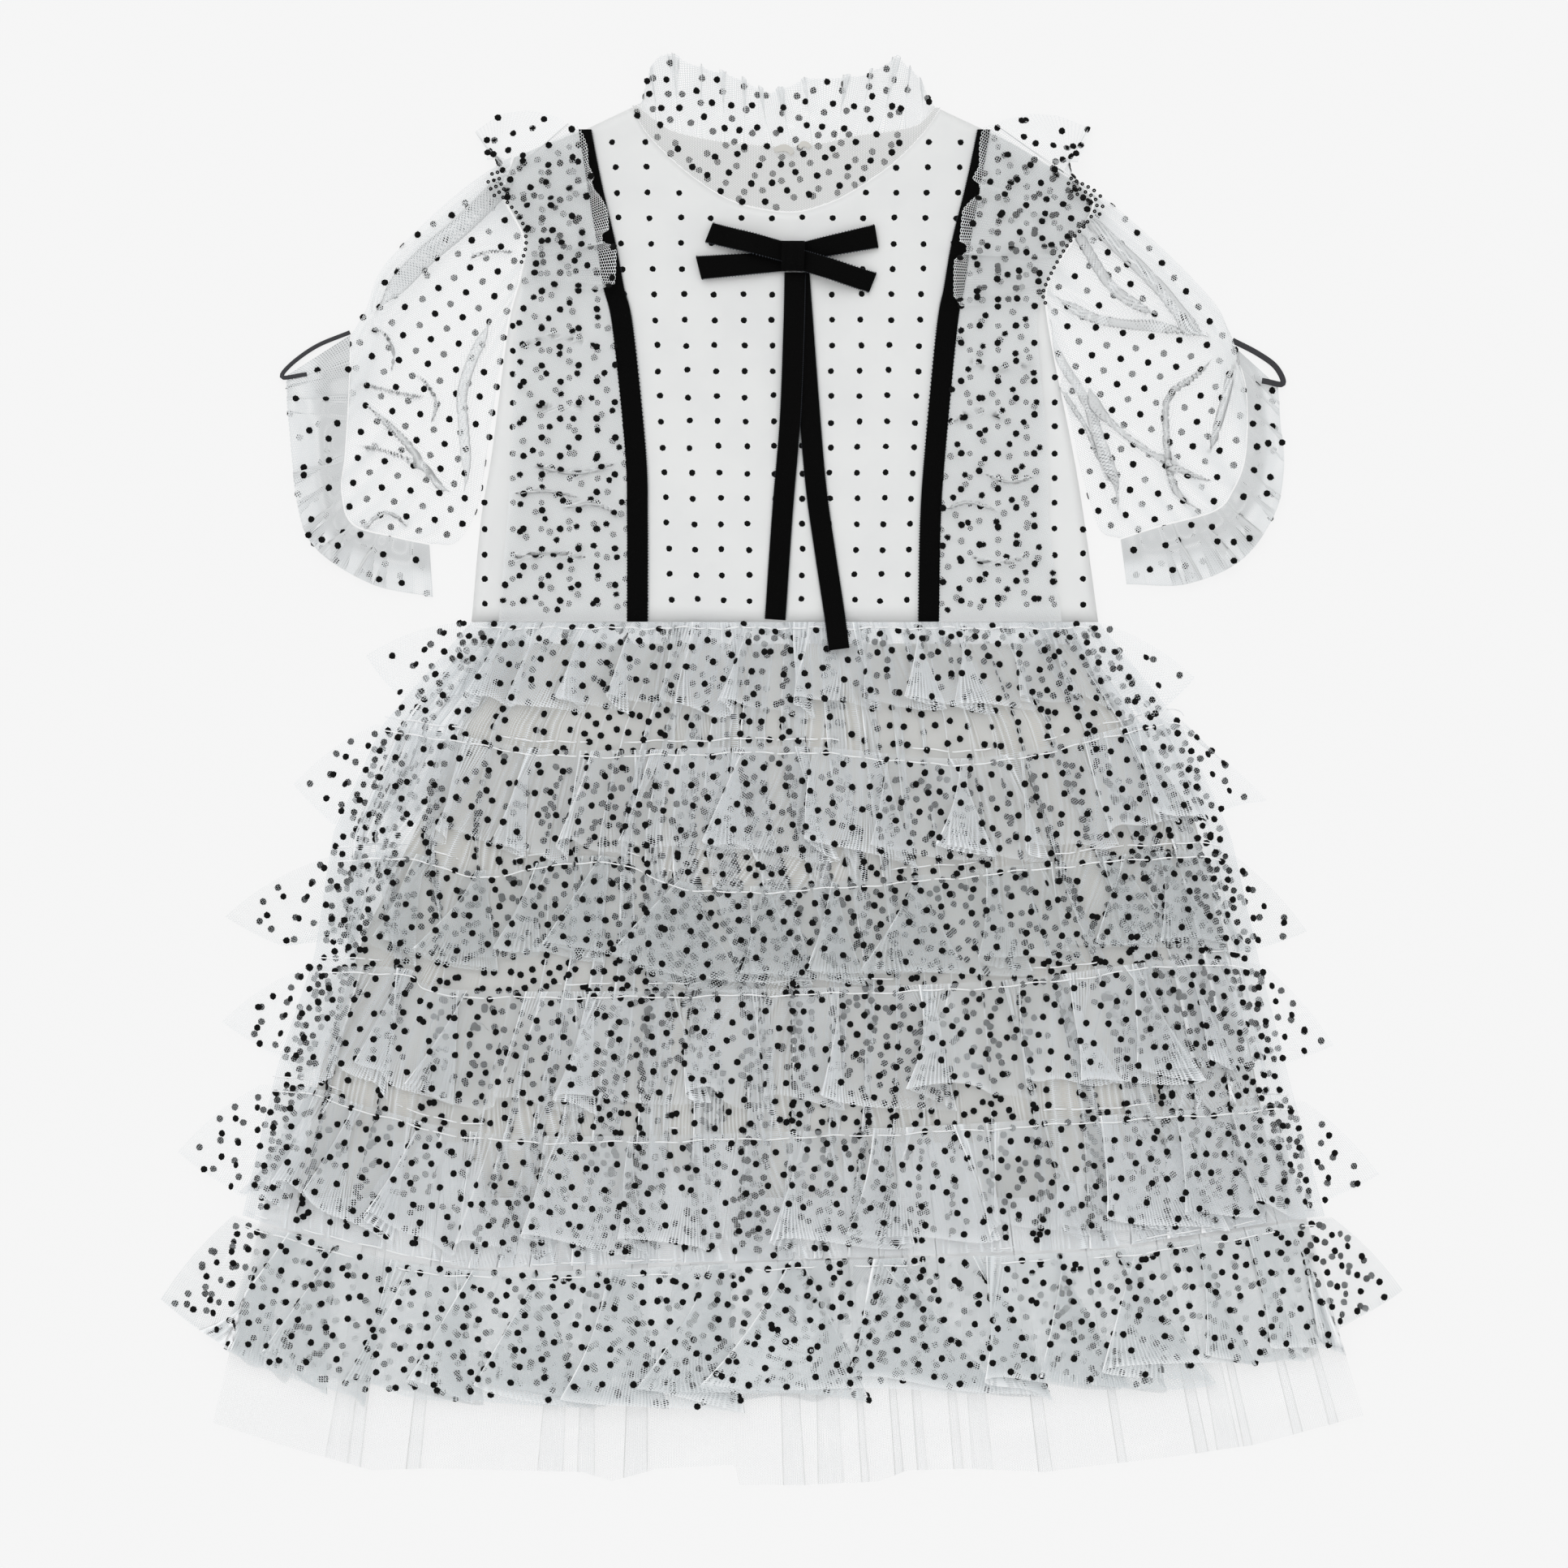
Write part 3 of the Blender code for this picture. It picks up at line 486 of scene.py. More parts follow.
THREAD_SHARE, HEM_SHARE = 0.24, 0.8
WEB_LEVELS = web_levels()
# The web levels over which the nets' colour turns to their painted fold shade and highlight
FOLD_LIGHT_AND_SHADE_WEB = [WEB_LEVELS[int(share * len(WEB_LEVELS))] for share in (0.5, 0.85)]
# The plain tulle turns darker where thread crowds: painted shade in its gathers and folds.
TULLE = net_paint("dotted_tulle_net", (0.82, 0.84, 0.85), (0.66, 0.675, 0.68), 1.1)
# The skirt's net turns lighter where thread crowds: painted highlight along its fold edges.
SKIRT_TULLE = net_paint("gathered_tulle_net", (0.80, 0.83, 0.85), (0.96, 0.97, 0.98), 1.1)
# A darker copy of the skirt's net for its densely gathered tiers: painted shade, with painted highlight
# along its folds.
SHADED_TULLE = net_paint("shaded_tulle_net", (0.705, 0.74, 0.755), (0.93, 0.945, 0.955), 1.1)
# A darker copy of the net for the yoke: painted shade of the bodice under it, and lighter where thread
# crowds as painted highlight.
SHADED_YOKE_TULLE = net_paint("shaded_yoke_net", (0.64, 0.65, 0.645), (0.78, 0.79, 0.79), 1.0)
PETTICOAT_NET = net_paint("petticoat_net", (0.88, 0.89, 0.895), (0.88, 0.89, 0.895), 0.9)
COTTON = woven_paint("white_cotton", (0.895, 0.905, 0.90), (0.86, 0.87, 0.87), 0.55, 0.3, 0.9)
LINING = woven_paint("cream_lining", (0.74, 0.725, 0.685), (0.67, 0.66, 0.62), 0.4, 0.25, 0.7)
VELVET = pile_paint("black_velvet", (0.002, 0.002, 0.002), (0.007, 0.007, 0.007), 2600.0, 0.015)
PICOT = plain_paint("ribbon_edge_thread", (0.035, 0.042, 0.055), 0.7)
FLOCK = pile_paint("black_flock", (0.006, 0.006, 0.006), (0.02, 0.02, 0.02), 3500.0, 0.1)
ELASTIC = plain_paint("black_elastic", (0.02, 0.02, 0.025), 0.5, 900.0)
THREAD = plain_paint("white_thread", (0.92, 0.93, 0.94), 0.6)


# Making cloth

def add_mesh(name, points, faces, material):
    mesh = bpy.data.meshes.new(name)
    mesh.from_pydata((points * MM).tolist(), [], faces)
    mesh.shade_smooth()
    mesh.materials.append(material)
    made = bpy.data.objects.new(name, mesh)
    bpy.context.scene.collection.objects.link(made)
    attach(made, "root")
    return made


def thicken(made, thickness):
    wall = made.modifiers.new("thickness", "SOLIDIFY")
    wall.thickness, wall.offset = thickness * MM, 0


def copy_faces(faces, size, count):
    """The faces of count shapes one after another, with size corners each."""
    return [[corner + size * copy for corner in face] for copy in range(count) for face in faces]


def from_above(spot):
    """The flat shape of a cloth that lies smooth: what shows from straight above."""
    return lambda u, v: spot(u, v)[:2]


def run_of(points):
    """Distances along the first axis of a row of points, from its start."""
    steps = np.linalg.norm(np.diff(points, axis=0), axis=1)
    return np.concatenate([[0], np.cumsum(steps)])


# Where the width and the length of a cloth are measured along its folds
RUN_SHARES = np.linspace(0, 1, 1600)
WIDTH_AT, LENGTH_AT = 0.5, 0.37
# The least that counts as seen of a face that stands on edge: in a tulle, in any other cloth
NET_SEEN, CLOTH_SEEN = 0.12, 0.85


class Cloth:
    """A sheet of cloth. spot(u, v) gives x, y and z across and down it, u and v from 0 to 1."""

    def __init__(self, name, columns, rows, spot, material, is_tube=False, flat_at=None,
                 thickness=0, layers=1, edge_columns=1):
        self.name, self.spot, self.flat_at, self.is_tube = name, spot, flat_at, is_tube
        self.is_net = material in (TULLE, SKIRT_TULLE, SHADED_TULLE)
        u, v = np.meshgrid(np.linspace(0, 1, columns + 1), np.linspace(0, 1, rows + 1))
        self.width_run = run_of(self.at(RUN_SHARES, np.full_like(RUN_SHARES, WIDTH_AT)))
        self.length_run = run_of(self.at(np.full_like(RUN_SHARES, LENGTH_AT), RUN_SHARES))
        if flat_at:
            self.flat = np.stack(flat_at(u, v), axis=-1)
        else:
            self.flat = np.stack([np.interp(u, RUN_SHARES, self.width_run),
                                  np.interp(v, RUN_SHARES, self.length_run)], axis=-1)
        ring = columns if is_tube else columns + 1
        row, column = np.mgrid[:rows, :columns]
        at_row = row.reshape(-1, 1) + (0, 1, 1, 0)
        at_column = column.reshape(-1, 1) + (0, 0, 1, 1)
        faces = (at_row * ring + at_column % ring).tolist()
        self.object = add_mesh(name, self.at(u, v)[:, :ring].reshape(-1, 3), faces, material)
        layer = self.object.data.uv_layers.new(name="flat_cloth")
        layer.data.foreach_set("uv", (self.flat[at_row, at_column] * MM).ravel())
        self.set_threads(u[:, :ring], v[:, :ring], layers, edge_columns)
        if thickness:
            thicken(self.object, thickness)

    def set_threads(self, u, v, layers, edge_columns):
        """Holds the net's web level: more thread where it is gathered, hemmed or on edge. The nets'
        colours follow it too, as painted fold shade and highlight.
        """
        mesh = self.object.data
        normals = np.empty(3 * u.size)
        mesh.vertices.foreach_get("normal", normals)
        seen = abs(normals[2::3]).reshape(u.shape)
        # Widens each band of faces on edge by edge_columns columns to both sides, and with it the nets'
        # painted fold shade and highlight.
        for _ in range(edge_columns):
            beside = np.minimum(seen[:, 2:], seen[:, :-2])
            seen[:, 1:-1] = np.minimum(seen[:, 1:-1], beside)
        seen = np.maximum(seen, NET_SEEN if self.is_net else CLOTH_SEEN)
        if callable(layers):
            layers = layers(u, v)
        if self.is_net:
            layers = layers * (1 + HEM_SHARE * (v == 1))
        thread = 1 - (1 - THREAD_SHARE) ** (layers / seen)
        edge = WEB_LEVELS[(thread * (len(WEB_LEVELS) - 1)).astype(int)].ravel()
        mesh.attributes.new("thread_edge", "FLOAT", "POINT").data.foreach_set("value", edge)

    def at(self, u, v):
        return np.stack(np.broadcast_arrays(*self.spot(u, v)), axis=-1)

    def size(self):
        """Width and length of the flat cut, in metres, and its area."""
        area = sum(face.area for face in self.object.data.polygons)
        flat = self.flat.reshape(-1, 2)
        width, length = (flat.max(0) - flat.min(0)) * MM
        if self.is_net:
            width, length = self.width_run[-1] * MM, self.length_run[-1] * MM
        return width, length, min(area, width * length)

    def dot_places(self, pitch, start, sunk, sway):
        """Where the grid of dots on the flat cloth lands, as u and v."""
        if self.flat_at:
            faces = ((0, 0.5), (0.5, 1)) if self.is_tube else ((0, 1),)
            found = [self.nearest_places(*face, pitch, start, sunk, sway) for face in faces]
            return np.concatenate(found, axis=1)
        width, length = self.width_run[-1], self.length_run[-1]
        columns = np.arange(start[0], width, pitch[0])
        rows = np.arange(-1, length / pitch[1] + 1)[:, None]
        order = np.arange(len(columns))
        slip = 0.4 * (np.sin(2.1 * order + start[0]) + np.sin(5.3 * order + start[1]))
        down = start[1] + (rows + slip) * pitch[1]
        across = columns + 0.33 * pitch[0] * np.sin(1.9 * rows + 0.7 * order)
        inside = (down > 0) & (down < length) & (across > 0) & (across < width)
        return (np.interp(across[inside], self.width_run, RUN_SHARES),
                np.interp(down[inside], self.length_run, RUN_SHARES))

    def nearest_places(self, first, last, pitch, start, sunk, sway):
        """The same from u = first to last, on a cloth whose flat shape is stated."""
        u, v = np.meshgrid(np.linspace(first, last, DOT_SEARCH), np.linspace(0, 1, DOT_SEARCH))
        near = np.stack(self.flat_at(u, v), axis=-1).reshape(-1, 2)
        near = near + 8 * sunk * np.sin(near[:, ::-1] / 8)
        low, high = near.min(0) + start + np.array(pitch) * first, near.max(0)
        grid = np.meshgrid(*(np.arange(low[axis], high[axis], pitch[axis]) for axis in (0, 1)))
        wanted = np.stack([axis.ravel() for axis in grid], axis=-1)
        if sway:
            wanted += sway(wanted)
        best = np.array([np.argmin(((near - place) ** 2).sum(1)) for place in wanted])
        best = best[np.linalg.norm(near[best] - wanted, axis=1) < DOT_REACH]
        return u.ravel()[best], v.ravel()[best]

    def uncrowded(self, u, v, seam_gap):
        """The dots that stay, highest first, where folds bring them too near each other."""
        place = self.at(u, v)
        gap = seam_gap * (1 - 0.55 * smooth(3 * v) * smooth(12 * np.minimum(u, 1 - u) - 0.4))
        chosen = []
        for index in np.argsort(-place[:, 2]):
            away = np.linalg.norm(place[chosen, :2] - place[index, :2], axis=1)
            if not (away < gap[index]).any():
                chosen.append(index)
        return chosen

    def add_dots(self, seed, pitch=NET_DOT_PITCH, start=(5, 6), is_under=False, seam_gap=0, sunk=0,
                 top=0.01, sway=None):
        """Flocked dots on a face of the cloth, or sunk on the doubled cloth under it."""
        rng = np.random.default_rng(seed)
        u, v = self.dot_places(pitch, start, sunk, sway)
        keep = (v > top) & (v < 1 - DOT_HEM)
        if not self.is_tube:
            keep &= (u > DOT_MARGIN) & (u < 1 - DOT_MARGIN)
        u, v = u[keep], v[keep]
        if seam_gap:
            chosen = self.uncrowded(u, v, seam_gap)
            u, v = u[chosen], v[chosen]
        u = np.clip(u + rng.normal(0, 0.0006, len(u)), 0, 1)
        small = 0.0015
        place = self.at(u, v)
        over = self.at(u + small, v) - self.at(u - small, v)
        down = self.at(u, v + small) - self.at(u, v - small)
        over /= np.linalg.norm(over, axis=1)[:, None]
        up = np.cross(down, over)
        up /= np.linalg.norm(up, axis=1)[:, None]
        if is_under:
            up = -up
        away = np.cross(up, over)
        turn = 2 * pi * np.arange(DOT_SIDES) / DOT_SIDES
        radius = DOT_RADIUS * (1 + rng.uniform(-0.1, 0.1, (len(u), DOT_SIDES)))
        turn = turn + rng.uniform(0, 2 * pi, (len(u), 1))
        by_over, by_away = radius * np.cos(turn), radius * np.sin(turn)
        ring = by_over[..., None] * over[:, None] + by_away[..., None] * away[:, None]
        low, high = DOT_FOOT - sunk, DOT_FOOT + DOT_PILE - sunk
        foot = place[:, None] + ring + low * up[:, None]
        brim = place[:, None] + DOT_BRIM * ring + high * up[:, None]
        crown = (place + (high + DOT_CROWN) * up)[:, None]
        points = np.concatenate([foot, brim, crown], axis=1).reshape(-1, 3)
        faces = []
        for side in range(DOT_SIDES):
            ahead = (side + 1) % DOT_SIDES
            faces.append((side, ahead, DOT_SIDES + ahead, DOT_SIDES + side))
            faces.append((DOT_SIDES + side, DOT_SIDES + ahead, 2 * DOT_SIDES))
        faces = copy_faces(faces, 2 * DOT_SIDES + 1, len(u))
        return add_mesh(f"{self.name}_dots_{seed}", points, faces, FLOCK)


CUTS = []


def lay(cloth, node, rests_on):
    """Hides the CAD node that a finished cloth stands for, and notes the size of its cut. rests_on, what
    is sewn to it, is not used.
    """
    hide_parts(node)
    width, length, area = cloth.size()
    CUTS.append((cloth.name, width, length, area))


# The bodice

TOP_LEFT = (BODICE_ROWS[0][0], (-126, 339.5), BODICE_ROWS[0][1])
TOP_RIGHT = (BODICE_ROWS[0][2], (124, 340), BODICE_ROWS[0][3])
BODICE_TOP = TOP_LEFT + NECKLINE + TOP_RIGHT
LEFT_RIBBON = len(TOP_LEFT) - 1
RIGHT_RIBBON = len(TOP_LEFT) + len(NECKLINE)
LAST_COLUMN = len(BODICE_TOP) - 1
OPENING_COLUMN = len(TOP_LEFT) + [x for x, y in NECKLINE].index(OPENING_X)
LAST_ROW = len(BODICE_ROWS) - 1
FINE = 20


def bodice_net():
    """The points of the bodice, FINE to each column and row of its sections."""
    net = np.zeros((LAST_ROW + 1, LAST_COLUMN + 1, 2))
    net[0] = BODICE_TOP
    top_left, top_right = net[0, LEFT_RIBBON], net[0, RIGHT_RIBBON]
    for row in range(1, LAST_ROW + 1):
        side_left, ribbon_left, ribbon_right, side_right = np.array(BODICE_ROWS[row], float)
        for column in range(LAST_COLUMN + 1):
            top_x, top_y = net[0, column]
            share = (top_x - top_left[0]) / (top_right[0] - top_left[0])
            shoulder_y = mix(top_left[1], top_right[1], share)
            ribbon_x, ribbon_y = mix(ribbon_left, ribbon_right, share)
            fall = (shoulder_y - ribbon_y) / (shoulder_y - WAIST_Y)
            net[row, column] = mix(top_x, ribbon_x, smooth(fall)), mix(top_y, WAIST_Y, fall)
        sides = np.linspace(0, 1, len(TOP_LEFT))[:, None]
        net[row, : LEFT_RIBBON + 1] = mix(side_left, ribbon_left, sides)
        net[row, RIGHT_RIBBON:] = mix(ribbon_right, side_right, sides)
    net = spline(net.reshape(LAST_ROW + 1, -1), np.linspace(0, LAST_ROW, LAST_ROW * FINE + 1))
    net = net.reshape(LAST_ROW * FINE + 1, LAST_COLUMN + 1, 2).transpose(1, 0, 2)
    net = net.reshape(LAST_COLUMN + 1, -1)
    places = np.linspace(0, LAST_COLUMN, LAST_COLUMN * FINE + 1)
    neck, last = len(TOP_LEFT), RIGHT_RIBBON - 1
    straight = spline(net, places, is_round=False)
    round_neck = spline(net[neck : last + 1], places - neck)
    in_neck = ((places > neck) & (places < last))[:, None]
    net = np.where(in_neck, round_neck, straight)
    return net.reshape(LAST_COLUMN * FINE + 1, LAST_ROW * FINE + 1, 2)


BODICE_NET = bodice_net()


def bodice_at(column, row):
    """x and y of the bodice at a place counted in its columns and rows."""
    column, row = np.broadcast_arrays(np.asarray(column, float) * FINE, np.asarray(row, float) * FINE)
    left = np.clip(column.astype(int), 0, LAST_COLUMN * FINE - 1)
    upper = np.clip(row.astype(int), 0, LAST_ROW * FINE - 1)
    over, down = (column - left)[..., None], (row - upper)[..., None]
    first = mix(BODICE_NET[left, upper], BODICE_NET[left + 1, upper], over)
    second = mix(BODICE_NET[left, upper + 1], BODICE_NET[left + 1, upper + 1], over)
    found = mix(first, second, down)
    return found[..., 0], found[..., 1]


def crease(x, y, start, end, width, depth):
    """A soft ridge that fades at both ends of a line."""
    run_x, run_y = end[0] - start[0], end[1] - start[1]
    length = np.hypot(run_x, run_y)
    along = ((x - start[0]) * run_x + (y - start[1]) * run_y) / length**2
    aside = ((x - start[0]) * run_y - (y - start[1]) * run_x) / length
    return depth * np.exp(-((aside / width) ** 2)) * in_between(along, 3)


PANEL_CREASES = (
    # start (x, y), end (x, y), width, depth
    ((66, 318), (30, 200), 9, 0.9),
    ((-60, 300), (-72, 150), 7, 0.5),
    ((40, 170), (62, 95), 8, 0.6),
    ((-35, 200), (-50, 100), 10, 0.5),
    ((10, 140), (-30, 88), 8, 0.4),
)


def bodice_cloth(name, first, last, height):
    def spot(u, v):
        x, y = bodice_at(mix(first, last, u), v * LAST_ROW)
        x = x + SEAM / 2 * mix(1, -1, u)
        return x, y, height(x, y)

    return Cloth(name, 8 * (last - first), 44, spot, COTTON, thickness=0.6,
                 flat_at=from_above(spot))


def front_height(x, y):
    z = panel_height(x, y)
    for start, end, width, depth in PANEL_CREASES:
        z = z + crease(x, y, start, end, width, depth)
    return z


def back_height(x, y):
    return 0 * x + CLOTH / 2


# How far the rows of dots lean, half the panel's width, and its middle (x, y)
PANEL_LEAN, PANEL_HALF, PANEL_MIDDLE = 0.06, 78, (9, 190)


def panel_sway(place):
    """The rows of dots lean outwards on both sides of the front panel's middle."""
    across, up = (place - PANEL_MIDDLE).T
    return np.stack([PANEL_LEAN * across / PANEL_HALF * up, 0 * across], axis=-1)


def make_bodice():
    for name, first, last in (("left", 0, OPENING_COLUMN), ("right", OPENING_COLUMN, LAST_COLUMN)):
        back = bodice_cloth("back_half_" + name, first, last, back_height)
        lay(back, "back_bodice_" + name, ["floor"])
    panel = bodice_cloth("front_panel", LEFT_RIBBON, RIGHT_RIBBON, front_height)
    dots = panel.add_dots(1, DOT_PITCH, start=(10.5, 11.7), sway=panel_sway)
    lay(panel, "front_centre_panel", ["back_bodice_left"])
    for name, first, last in (("left", 0, LEFT_RIBBON), ("right", RIGHT_RIBBON, LAST_COLUMN)):
        side = bodice_cloth("side_front_" + name, first, last, panel_height)
        dots = side.add_dots(2 + first, DOT_PITCH, start=(7, 9))
        lay(side, "side_panel_" + name, ["back_bodice_" + name])


YOKES = (
    # name, height of the bodice, rise over it, then of its dots: phase, seed, pitch and start
    ("back", back_height, 0, 4, 12, (10, 9), (6, 5)),
    ("front", panel_height, 0.2, 5, 13, (12, 10), (4.4, 7.6)),
)


def make_yoke(name, height, rise, phase, seed, pitch, start):
    seam, neck = Line(COLLAR_SEAM), Line(NECKLINE)

    def spot(u, v):
        (top_x, top_y), (low_x, low_y) = seam.by_point(u), neck.by_point(u)
        x, y = mix(top_x, low_x, v), mix(top_y, low_y + 1, v)
        soft = 0.35 * v * (1 - v) * np.sin(23 * u + 3 * v)
        return x, y, height(x, y) + rise + soft

    def sway(place):
        x, y = place.T
        return np.stack([5 * np.sin(y / 5 + phase), 4 * np.sin(x / 7)], axis=-1)

    yoke = Cloth("sheer_yoke_" + name, 72, 14, spot, SHADED_YOKE_TULLE, layers=2.0,
                 flat_at=from_above(spot))
    dots = yoke.add_dots(seed, pitch, start, sway=sway)
    lay(yoke, name + "_yoke", ["back_bodice_left"])


def make_collar_ruffle(name, level, depth):
    seam, edge = Line(COLLAR_SEAM), Line(COLLAR_EDGE)

    def spot(u, v):
        lean = 1.9 + 0.6 * np.sin(15 * u + 2 * level) + 0.5 * np.sin(41 * u)
        lean = lean * mix(0.45, 1, v) * in_between(u, COLLAR_WAVES)
        share = u + slide(COLLAR_WAVES * u, COLLAR_WAVES, lean)
        seam_x, seam_y = seam.at(mix(u, share, v))
        edge_x, edge_y = edge.by_point(np.clip(share, 0, 1))
        fine = 0.22 * np.sin(2 * pi * 31 * u + 5 * level) * v * (1 - v)
        low = level * (STEP + BACK_WAVE * smooth(3 * v))
        z = CLOTH / 2 + low + depth * v * wave(COLLAR_WAVES * u) + abs(fine)
        y = mix(seam_y + SEAM, edge_y, v) + 1.1 * v * np.sin(2 * pi * COLLAR_WAVES * u)
        return mix(seam_x, edge_x, v), y, z

    collar = Cloth("neck_frill_" + name, 34 * COLLAR_WAVES, 14, spot, TULLE, layers=0.95,
                   edge_columns=2)
    dots = collar.add_dots(20 + level, start=(5 + 5 * level, 5), is_under=True, seam_gap=8)
    lay(collar, "collar_ruffle_" + name, ["sheer_yoke_" + name])


def ribbon_width(row):
    """Narrower at the shoulder, where the ribbon is turned in."""
    return RIBBON_WIDTH * mix(0.62, 1, smooth(row / 3))


def ribbon_crown(u):
    """The height of a ribbon's pile, which is less at its edges."""
    return 0.1 + 0.15 * (1 - (2 * u - 1) ** 2)


PICOT_PITCH, PICOT_REACH, PICOT_FOOT = 1.15, 0.6, 0.3


def add_picot(cloth, name):
    """The looped threads along both edges of a ribbon."""
    count = int(cloth.length_run[-1] / PICOT_PITCH)
    v = (np.arange(count) + 0.1) / count
    step = 0.75 / count
    points = []
    for edge, inner in ((0.0, 0.2), (1.0, 0.8)):
        first, second = cloth.at(edge, v), cloth.at(edge, np.minimum(v + step, 1))
        away = first - cloth.at(inner, v)
        away /= np.linalg.norm(away, axis=1)[:, None]
        tip = mix(first, second, 0.5) + PICOT_REACH * away
        points.append(np.stack([first - PICOT_FOOT * away, mix(first, tip, 0.8), tip,
                                mix(second, tip, 0.8), second - PICOT_FOOT * away], axis=1))
    faces = copy_faces([range(5)], 5, 2 * count)
    made = add_mesh(name, np.concatenate(points).reshape(-1, 3), faces, PICOT)
    thicken(made, 0.35)
    return made


def velvet(name, node, columns, rows, spot, rests_on, is_tube=False, has_picot=True):
    ribbon = Cloth(name, columns, rows, spot, VELVET, is_tube=is_tube, thickness=0.9)
    edges = [add_picot(ribbon, name + "_picot")] if has_picot else []
    lay(ribbon, node, rests_on)


def make_ribbon(name, column):
    def spot(u, v):
        x, y = bodice_at(column, v * LAST_ROW)
        x = x + ribbon_width(v * LAST_ROW) * (u - 0.5)
        return x, y, panel_height(x, y) + STEP + ribbon_crown(u)

    velvet("ribbon_" + name, "velvet_ribbon_" + name, 8, 90, spot, ["side_panel_" + name])


OVERLAY_TUCKS = {
    # name: lines (x, y) along which the gathered net lies over itself, half width
    "left": (
        (((-160, 201), (-120, 196), (-100, 199)), 1.2), (((-140, 166), (-110, 161), (-82, 169)), 1.5),
        (((-152, 149), (-126, 151), (-104, 146)), 1.1), (((-122, 141), (-102, 144), (-84, 137)), 1.3),
        (((-154, 113), (-126, 118), (-96, 113)), 1.3), (((-150, 226), (-124, 235), (-96, 228)), 1.1),
    ),
    "right": (
        (((92, 226), (118, 217), (150, 224)), 1.2), (((86, 186), (106, 194), (128, 188)), 1.4),
        (((106, 162), (124, 156), (142, 161)), 1.1), (((84, 139), (102, 145), (122, 138)), 1.4),
        (((98, 117), (118, 112), (142, 119)), 1.2),
    ),
}
OVERLAY_DOTS = (
    # seed, start of their grid, how deep they lie under the net's face
    (31, (3, 5), 0), (33, (8.7, 3.6), 0.4), (35, (3.7, 11.4), 0.7),
)
# How far the cloth slides across a fold, as a share of the fold's width
FOLD_SLIDE = 3.4


def fold_over(x, y, line, width, amount):
    """Slides points across a line, where the cloth lies over itself.

    Gives x, y, how far the points are lifted, and how much of the fold they have.
    """
    path = line.path[::5]
    run = np.gradient(path, axis=0)
    run /= np.linalg.norm(run, axis=1)[:, None]
    gap = (x[..., None] - path[:, 0]) ** 2 + (y[..., None] - path[:, 1]) ** 2
    near = gap.argmin(-1)
    along = near / (len(path) - 1)
    run_x, run_y = run[near, 0], run[near, 1]
    aside = ((y - path[near, 1]) * run_x - (x - path[near, 0]) * run_y) / width
    amount = amount * in_between(along, 4) * np.exp(-(aside**2))
    over = -FOLD_SLIDE * amount * aside * width
    lift = amount * (1.2 + 0.25 * width) * np.exp(-((aside - 0.5) ** 2))
    return x - run_y * over, y + run_x * over, lift, amount


def on_bias(x, y):
    """Turned by 45 degrees, as on net that is cut across its rows of dots."""
    return (x + y) * 0.707, (y - x) * 0.707


def make_overlay(name, inner, outer, waist_gap):
    outwards = 1 if outer > inner else -1
    tucks = [(Line(points), width) for points, width in OVERLAY_TUCKS[name]]

    def flat_place(u, v):
        row = v * LAST_ROW
        (start_x, start_y), (end_x, end_y) = bodice_at(inner, row), bodice_at(outer, row)
        start_x = start_x + outwards * (ribbon_width(row) / 2 + SEAM)
        end_x = end_x - outwards * mix(1, waist_gap, smooth(2 * row / LAST_ROW - 0.8))
        return mix(start_x, end_x, u), mix(start_y, end_y, u)

    def spot(u, v):
        x, y = flat_place(u, v)
        lift = 0.45 * np.sin(y / 5.5 + 1.3 * np.sin(x / 13)) + 0.35 * np.sin(y / 13 - x / 9)
        for line, width in tucks:
            x, y, rise, _ = fold_over(x, y, line, width, in_between(u, 12) * in_between(v, 12))
            lift = lift + rise
        return x, y, panel_height(x, y) + STEP + GATHER_DEPTH + lift

    overlay = Cloth("gathered_overlay_" + name, 54, 220, spot, TULLE, layers=2.1,
                    flat_at=lambda u, v: on_bias(*flat_place(u, v)))
    dots = [overlay.add_dots(seed, OVERLAY_DOT_PITCH, start, is_under=outwards < 0, sunk=sunk)
            for seed, start, sunk in OVERLAY_DOTS]
    lay(overlay, "side_overlay_" + name, ["side_panel_" + name])


